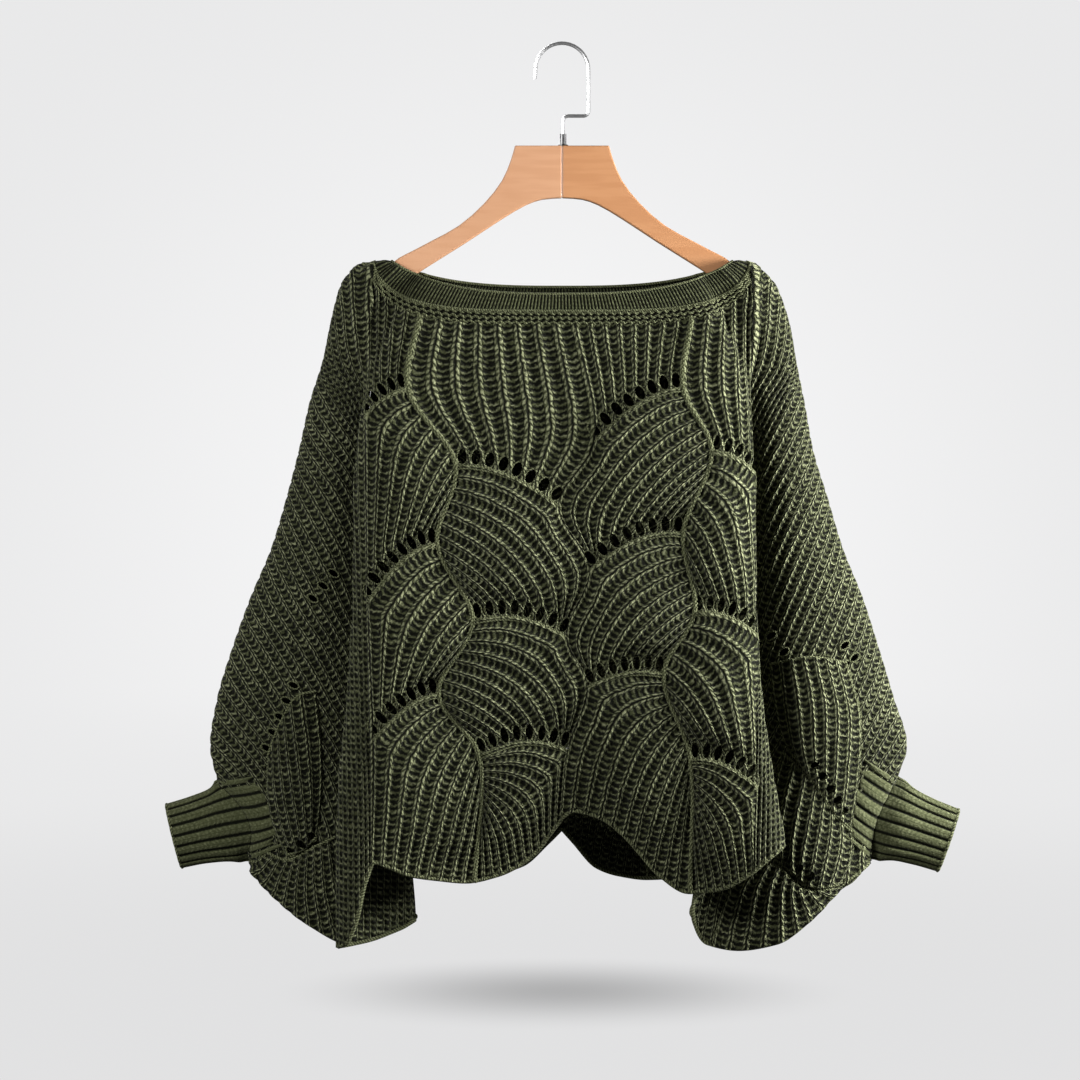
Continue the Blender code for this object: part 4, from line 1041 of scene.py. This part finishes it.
# Half-cardigan rib from the knit coordinates: u counts ribs, v counts rows.
def knitMaterial(name):
    material, tree, shader = shaderOf(name)
    n = Nodes(tree)
    place, coordinates = knitCoordinates(n, tree)
    wobble = n.math("SUBTRACT", n.noise(coordinates, 150.0, 1.0), 0.5)
    drift = n.math("SUBTRACT", n.noise(n.vector("ADD", coordinates, (3.0, 1.0, 2.0)), 240.0, 1.0), 0.5)
    u = n.math("MULTIPLY_ADD", wobble, 0.17, place.outputs[0])
    v = n.math("MULTIPLY_ADD", drift, 0.85, place.outputs[1])
    offset = n.math("SUBTRACT", u, n.math("ROUND", u))
    apart = n.math("ABSOLUTE", offset)
    # two legs of each knit stitch, leaning to a V
    leaning = n.math("SUBTRACT", v, n.math("MULTIPLY", apart, 3.2))
    stitch = n.math("POWER", n.wave(leaning), 0.7)
    leg = n.ease(n.math("ABSOLUTE", n.math("SUBTRACT", apart, 0.125)), 0.125, 0.03)
    leftSide = n.math("LESS_THAN", offset, 0.0)
    lump = n.math("MULTIPLY_ADD", stitch, n.math("MULTIPLY_ADD", leftSide, -0.22, 0.88),
                  n.math("MULTIPLY_ADD", leftSide, 0.12, 0.16))
    taut = n.ease(n.noise(n.vector("ADD", coordinates, (2.0, 4.0, 1.0)), 170.0, 1.0), 0.3, 0.7, 0.74, 1.12)
    knitHeight = n.math("MULTIPLY", n.math("MULTIPLY", leg, lump), taut)
    # bars of the purl column between the ribs, with a pit below each
    curve = n.math("POWER", n.math("SUBTRACT", 0.5, apart), 2.0)
    rung = n.math("ADD", n.math("MULTIPLY_ADD", curve, 3.2, 0.3), v)
    bar = n.math("POWER", n.wave(rung), 2.2)
    purl = n.ease(apart, 0.17, 0.25)
    uneven = n.ease(n.noise(n.vector("ADD", coordinates, (1.0, 5.0, 4.0)), 130.0, 1.0), 0.3, 0.7, 0.42, 0.84)
    purlHeight = n.math("MULTIPLY", n.math("MULTIPLY", bar, purl), uneven)
    height = n.math("MAXIMUM", knitHeight, purlHeight)
    finishKnit(n, tree, shader, height, coordinates, 0.0034)
    return material


# Plain rib, with the knit stitches close together.
def smoothRibMaterial(name, legs, relief, sides):
    material, tree, shader = shaderOf(name)
    n = Nodes(tree)
    place, coordinates = knitCoordinates(n, tree)
    u = place.outputs[0]
    apart = n.math("ABSOLUTE", n.math("SUBTRACT", u, n.math("ROUND", u)))
    rib = n.ease(apart, *sides)
    leaning = n.math("SUBTRACT", place.outputs[1], n.math("MULTIPLY", apart, 1.6))
    stitch = n.wave(leaning)
    parted = n.ease(apart, 0.0, 0.07, 1.0 - legs, 1.0)
    lump = n.math("MULTIPLY_ADD", n.math("POWER", stitch, 0.6), relief, 0.6 - relief)
    height = n.math("MULTIPLY", n.math("MULTIPLY", rib, lump), parted)
    finishKnit(n, tree, shader, height, coordinates, 0.0012)
    return material


# Plied yarn for single strands and cords.
def strandMaterial(name):
    material, tree, shader = shaderOf(name)
    n = Nodes(tree)
    place, coordinates = knitCoordinates(n, tree)
    turns = n.math("MULTIPLY_ADD", place.outputs[0], 2.0, place.outputs[1])
    ply = n.wave(turns)
    height = n.math("MULTIPLY_ADD", n.math("POWER", ply, 0.6), 0.6, 0.12)
    finishKnit(n, tree, shader, height, coordinates, 0.0007)
    return material


def woodMaterial(name, colour, deep):
    material, tree, shader = shaderOf(name)
    n = Nodes(tree)
    coordinates = n.place()
    warp = n.vector("MULTIPLY", coordinates, (9.0, 40.0, 75.0))
    grain = n.noise(warp, 1.8, 4.0, 0.5)
    broad = n.noise(coordinates, 9.0, 1.0)
    tone = n.mix(n.ease(grain, 0.42, 0.66, 0.0, 0.45), colour, deep)
    tone = n.mix(n.ease(broad, 0.35, 0.75, 0.0, 0.25), tone, deep)
    tree.links.new(tone, shader.inputs["Base Color"])
    shader.inputs["Roughness"].default_value = 0.45
    shader.inputs["Coat Weight"].default_value = 0.12
    edge = tree.nodes.new("ShaderNodeBevel")
    edge.samples = 6
    edge.inputs["Radius"].default_value = 0.0022
    tree.links.new(n.bump(grain, 0.0002, 0.4, edge.outputs[0]), shader.inputs["Normal"])
    return material


def steelMaterial(name, colour, rough):
    material, tree, shader = shaderOf(name)
    n = Nodes(tree)
    coordinates = n.place()
    scratch = n.noise(n.vector("MULTIPLY", coordinates, (900.0, 900.0, 60.0)), 1.0, 2.0)
    tree.links.new(n.ease(scratch, 0.2, 0.8, rough - 0.05, rough + 0.08), shader.inputs["Roughness"])
    shader.inputs["Base Color"].default_value = (*colour, 1.0)
    shader.inputs["Metallic"].default_value = 1.0
    return material


knit = knitMaterial("oliveKnit")
fineKnit = smoothRibMaterial("oliveFineRib", 0.0, 0.3, (0.4, 0.06))
cuffKnit = smoothRibMaterial("oliveCuffRib", 0.2, 0.13, (0.49, 0.3))
strand = strandMaterial("oliveStrand")
paleWood = woodMaterial("paleWood", (0.545, 0.293, 0.162), (0.455, 0.223, 0.108))
warmWood = woodMaterial("warmWood", (0.480, 0.231, 0.103), (0.390, 0.169, 0.067))
steel = steelMaterial("polishedWire", (0.66, 0.66, 0.665), 0.34)
darkSteel = steelMaterial("darkFerrule", (0.10, 0.10, 0.10), 0.35)
for node, material in (("hanger_arm_left", paleWood), ("hanger_arm_right", warmWood),
                       ("hanger_hook", steel), ("hanger_ferrule", darkSteel)):
    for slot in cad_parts[node].material_slots:
        slot.material = material
print("materials ready")

panels = {
    front: {"knit": "frontKnit", "yarn": "frontYarn", "node": "front", "perRib": 6, "step": 3.5,
            "sleevePerRib": 4, "sleeveStep": 4.6},
    back: {"knit": "backKnit", "yarn": "backYarn", "node": "back", "perRib": 6, "step": 4.0,
           "sleevePerRib": 4, "sleeveStep": 5.2},
}
for face, facts in panels.items():
    pattern = patterns[face]
    sheet = bodySheet(pattern, facts["knit"], facts["perRib"], facts["step"])
    sleeveSheet(sheet, pattern, facts["sleevePerRib"], facts["sleeveStep"])
    sheet.done(knit)
    yarnSheet(pattern, facts["yarn"]).done(strand)
    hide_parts(facts["node"])

bandRib, bandRise = 3.3, 0.9


def neckbandSheet():
    sheet, edges = Sheet("neckRib"), []
    for face in (front, back):
        share = np.sin(0.5 * np.pi * np.linspace(-1, 1, 2001))
        run = runOf(bandPoints(face, share, 0.5)[0])
        ribs = round(run[-1] / bandRib)
        even = np.interp(np.linspace(0, run[-1], ribs * 4 + 1), run, share)
        u = np.linspace(0, ribs, ribs * 4 + 1)[None]
        low = np.linspace(0, 1.1, 8)[:, None]
        points, normals = bandPoints(face, even[None], low)
        crown = np.sin(np.pi * np.minimum(low, 1)) ** 0.5
        height = 1.2 + 0.8 * crown + bandRise * ribShape(u) * crown
        sheet.grid(points + normals * height[..., None], np.broadcast_to(u, height.shape),
                   np.broadcast_to(low * bandHeight / 4.2, height.shape), normals)
        for low, radius, height in ((0.0, 1.5, 0.8), (1.07, 1.5, 1.6)):
            edge, normals = bandPoints(face, even[::2], low)
            edges.append((edge + normals * height, normals, radius))
    return sheet, edges


def bandPoints(face, share, low):
    share, low = np.broadcast_arrays(share, low)
    across = np.abs(share) * (neckCorner + (yokeCorner - 1.3 - neckCorner) * low)
    points, normals = np.zeros(share.shape + (3,)), np.zeros(share.shape + (3,))
    for side, chosen in sidesOf(share):
        drape = drapes[(side, face)]
        neck = drape.neckDrop(np.abs(share[chosen]) * neckCorner)
        yoke = drape.yokeDrop(np.abs(share[chosen]) * yokeCorner) - 0.9
        drop = neck + (yoke - neck) * low[chosen]
        along = np.minimum(across[chosen], drape.length(drop))
        points[chosen] = drape.at(along, drop)
        normals[chosen] = drape.outward(along, drop)
    return points, normals


sheet, edges = neckbandSheet()
sheet.done(fineKnit)
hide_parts("neckband")
sheet = Sheet("neckEdge")
for path, normals, radius in edges:
    sheet.tube(path, normals, radius, 6, 2.4)
sheet.done(strand)

cuffRibs, cuffRow, gatherLong = 18, 4.6, 36.0
cuffs = {
    left: {"name": "cuffLeftRib", "node": "cuff_left", "long": 70.0, "droop": 14.0},
    right: {"name": "cuffRightRib", "node": "cuff_right", "long": 73.0, "droop": 19.0},
}
# share of the cuff's length, half height and half depth of its ring
cuffRings = [(0.34, 35.0, 15.5), (0.64, 31.5, 13.5), (1.0, 30.0, 12.0)]


ribStrength = 0.8 + 0.4 * np.abs(np.sin(7.3 * np.arange(cuffRibs + 1) + 0.4))


def cuffCrown(u):
    nearest = np.round(u)
    crown = np.sqrt(np.clip(1 - (2 * np.abs(u - nearest)) ** 2.4, 0, 1))
    return crown * ribStrength[nearest.astype(int) % len(ribStrength)]


def gatherSheet(side, facts):
    sheet = Sheet(facts["name"] + "Gather")
    for face in (front, back):
        grid = gatherGrid(side, face)
        points, normals = seenCloth(drapes[(side, face)], grid)
        turn = 0.5 * gatherTurns if face == front else 1 - 0.5 * gatherTurns
        u = np.broadcast_to(turn * cuffRibs, grid.shape[:2])
        w = np.linspace(0, 1, grid.shape[0])[:, None]
        brim = np.clip(np.minimum(gatherTurns, 1 - gatherTurns) / 0.08, 0.4, 1)
        rise = np.sin(math.pi * w)
        height = 1.0 + 1.1 * rise * brim + cuffCrown(u) * (1.44 + 1.2 * rise) * np.maximum(brim, w**4)
        height = height * np.clip(w / 0.2, 0.15, 1)
        v = (w - 1) * gatherLong / cuffRow
        end, endNormals, _ = sleeveEnd(side, face, cuffShare(gatherTurns))
        end = end + endNormals * (0.2 + 1.44 * cuffCrown(u[-1]))[:, None]
        v = np.vstack([np.broadcast_to(v, u.shape), np.full((1, len(gatherTurns)), 0.3)])
        sheet.grid(np.concatenate([points + normals * height[..., None], end[None]]),
                   np.concatenate([u, u[-1:]]), v, np.concatenate([normals, endNormals[None]]))
    return sheet


def cuffSheet(side, facts):
    turn = np.linspace(0, 1, cuffRibs * 8 + 1)
    onFront = turn <= 0.5
    share = cuffShare(np.where(onFront, 2 * turn, 2 - 2 * turn))
    start, startNormal = np.zeros((len(turn), 3)), np.zeros((len(turn), 3))
    for face in (front, back):
        chosen = onFront if face == front else ~onFront
        start[chosen], startNormal[chosen], _ = sleeveEnd(side, face, share[chosen])
    droop = math.radians(facts["droop"])
    axis = np.array([side * math.cos(droop), 0, -math.sin(droop)])
    up = np.array([-axis[2] * side, 0, axis[0] * side])
    middle = start[:-1].mean(axis=0)
    angle = 2 * np.pi * turn
    rings, normals = [start], [startNormal]
    for part, tall, deep in cuffRings:
        spoke = tall * np.cos(angle)[:, None] * up - deep * np.sin(angle)[:, None] * np.array([0, 1, 0])
        normal = deep * np.cos(angle)[:, None] * up - tall * np.sin(angle)[:, None] * np.array([0, 1, 0])
        rings.append(middle + axis * facts["long"] * part + spoke)
        normals.append(normal / np.linalg.norm(normal, axis=1, keepdims=True))
    stations = [0.0] + [ring[0] for ring in cuffRings]
    places = np.linspace(0, 1, 30)
    points = np.zeros((len(places), len(turn), 3))
    outward = np.zeros_like(points)
    for k in range(len(turn)):
        for i in range(3):
            points[:, k, i] = smooth(stations, [r[k, i] for r in rings], places)
            outward[:, k, i] = smooth(stations, [r[k, i] for r in normals], places)
    outward /= np.linalg.norm(outward, axis=2, keepdims=True)
    u = np.broadcast_to(turn * cuffRibs, points.shape[:2])
    ease = np.clip(places / 0.12, 0.6, 1)[:, None]
    height = 1.0 + 2.4 * cuffCrown(u) * ease
    sheet = Sheet(facts["name"])
    outer = points + outward * height[..., None]
    sheet.grid(outer, u, np.broadcast_to(places[:, None] * facts["long"] / cuffRow, u.shape), outward)
    lip = outer[-1] - outward[-1] * 0.8
    return sheet, (lip, outward[-1])


for side, facts in cuffs.items():
    sheet, lip = cuffSheet(side, facts)
    sheet.done(cuffKnit)
    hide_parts(facts["node"])
    sheet = Sheet(facts["name"] + "Edge")
    sheet.tube(*lip, 1.7, 6)
    sheet.done(strand)
    gatherSheet(side, facts).done(cuffKnit)
print("pieces ready")


def panelArea(face):
    total = 0.0
    for side in (left, right):
        drape = drapes[(side, face)]
        across = np.linspace(0, drape.reach, 400)
        top, bottom = drape.span(across)
        total += float((bottom - top).mean() * drape.reach)
    return total * mm * mm


for face, facts in panels.items():
    across = np.linspace(0, 400, 200)
    tall = max(float(drapes[(side, face)].span(across)[1].max()) for side in (left, right))
    panelArea(face)

studio = {"floorDrop": 0.946, "floorRadius": 14.0, "shadowHalf": (0.30, 0.36), "shadowDepth": 0.42,
          "edge": (0.815, 0.815, 0.82), "middle": (0.93, 0.93, 0.935), "near": (0.755, 0.755, 0.76),
          "ambient": 0.12}
# place, target, size and power of each light
lights = {
    "keyLight": ((1.25, -0.28, -0.28), (0.12, 0.0, -0.58), (0.35, 0.5), 64),
    "fillLight": ((-1.3, -1.4, 0.15), (-0.1, 0.0, -0.5), (0.5, 0.5), 34),
    "backLight": ((-1.0, 2.6, 0.8), (0.0, 0.0, -0.5), (1.4, 1.4), 75),
}


# A pale floor that glows as bright as the studio behind it, a little darker near the middle, with a painted
# soft shadow under the sweater.
def floor():
    bm = bmesh.new()
    bmesh.ops.create_circle(bm, cap_ends=True, segments=96, radius=studio["floorRadius"])
    bmesh.ops.translate(bm, vec=(0, 0, -studio["floorDrop"]), verts=bm.verts)
    mesh = bpy.data.meshes.new("floor")
    bm.to_mesh(mesh)
    bm.free()
    obj = bpy.data.objects.new("floor", mesh)
    bpy.context.scene.collection.objects.link(obj)
    material, tree, shader = shaderOf("paleFloor")
    n = Nodes(tree)
    coordinates = n.place()
    flat = n.vector("MULTIPLY", coordinates, (1.0, 1.0, 0.0))
    far = n.vector("LENGTH", flat, output="Value")
    tone = n.mix(n.ease(far, 0.3, 3.5), studio["near"], studio["edge"])
    # painted shadow: the floor's glow darkened in a soft ellipse under the sweater
    wide, deep = studio["shadowHalf"]
    away = n.vector("LENGTH", n.vector("MULTIPLY", coordinates, (1 / wide, 1 / deep, 0.0)), output="Value")
    paintedShadow = n.ease(away, 0.0, 1.0, 1.0, 0.0)
    tone = n.mix(n.math("MULTIPLY", paintedShadow, studio["shadowDepth"]), tone, (0.0, 0.0, 0.0))
    shader.inputs["Base Color"].default_value = (0, 0, 0, 1)
    shader.inputs["Specular IOR Level"].default_value = 0.0
    shader.inputs["Roughness"].default_value = 0.9
    tree.links.new(tone, shader.inputs["Emission Color"])
    shader.inputs["Emission Strength"].default_value = 1.0
    tree.links.new(n.ease(far, 2.0, 9.0, 1.0, 0.0), shader.inputs["Alpha"])
    mesh.materials.append(material)
    obj.visible_diffuse = False
    obj.visible_glossy = False


def areaLight(name, place, target, size, power):
    lamp = bpy.data.lights.new(name, "AREA")
    lamp.shape = "RECTANGLE"
    lamp.size, lamp.size_y = size
    lamp.energy = power
    obj = bpy.data.objects.new(name, lamp)
    obj.location = place
    obj.rotation_euler = (Vector(target) - Vector(place)).to_track_quat("-Z", "Y").to_euler()
    bpy.context.scene.collection.objects.link(obj)


# Pale grey behind the sweater, brightest in the middle, and a dimmer light from all round.
def studioWorld():
    world = bpy.context.scene.world or bpy.data.worlds.new("studio")
    bpy.context.scene.world = world
    world.use_nodes = True
    tree = world.node_tree
    n = Nodes(tree)
    sky = next(node for node in tree.nodes if node.type == "BACKGROUND")
    output = next(node for node in tree.nodes if node.type == "OUTPUT_WORLD")
    away = n.vector("DISTANCE", n.place("Generated"), (0.0, 1.0, 0.0), "Value")
    tree.links.new(n.mix(n.ease(away, 0.0, 0.17), studio["middle"], studio["edge"]), sky.inputs["Color"])
    sky.inputs["Strength"].default_value = 1.0
    soft = tree.nodes.new("ShaderNodeBackground")
    soft.inputs["Color"].default_value = (1.0, 1.0, 1.0, 1.0)
    soft.inputs["Strength"].default_value = studio["ambient"]
    choice = tree.nodes.new("ShaderNodeMixShader")
    tree.links.new(tree.nodes.new("ShaderNodeLightPath").outputs["Is Camera Ray"], choice.inputs[0])
    tree.links.new(soft.outputs[0], choice.inputs[1])
    tree.links.new(sky.outputs[0], choice.inputs[2])
    tree.links.new(choice.outputs[0], output.inputs["Surface"])


floor()
studioWorld()
for name, facts in lights.items():
    areaLight(name, *facts)

camera = bpy.data.cameras.new("camera")
sensorWide, cameraFar, frameWide = 36.0, 4.2, 1.08
camera.sensor_width = sensorWide
camera.lens = sensorWide * cameraFar / frameWide
cameraObject = bpy.data.objects.new("camera", camera)
cameraObject.location = (-0.022, -cameraFar, -0.495)
cameraObject.rotation_euler = (math.pi / 2, 0, 0)
bpy.context.scene.collection.objects.link(cameraObject)
bpy.context.scene.camera = cameraObject
bpy.context.scene.view_settings.view_transform = "Standard"

bpy.context.view_layer.update()
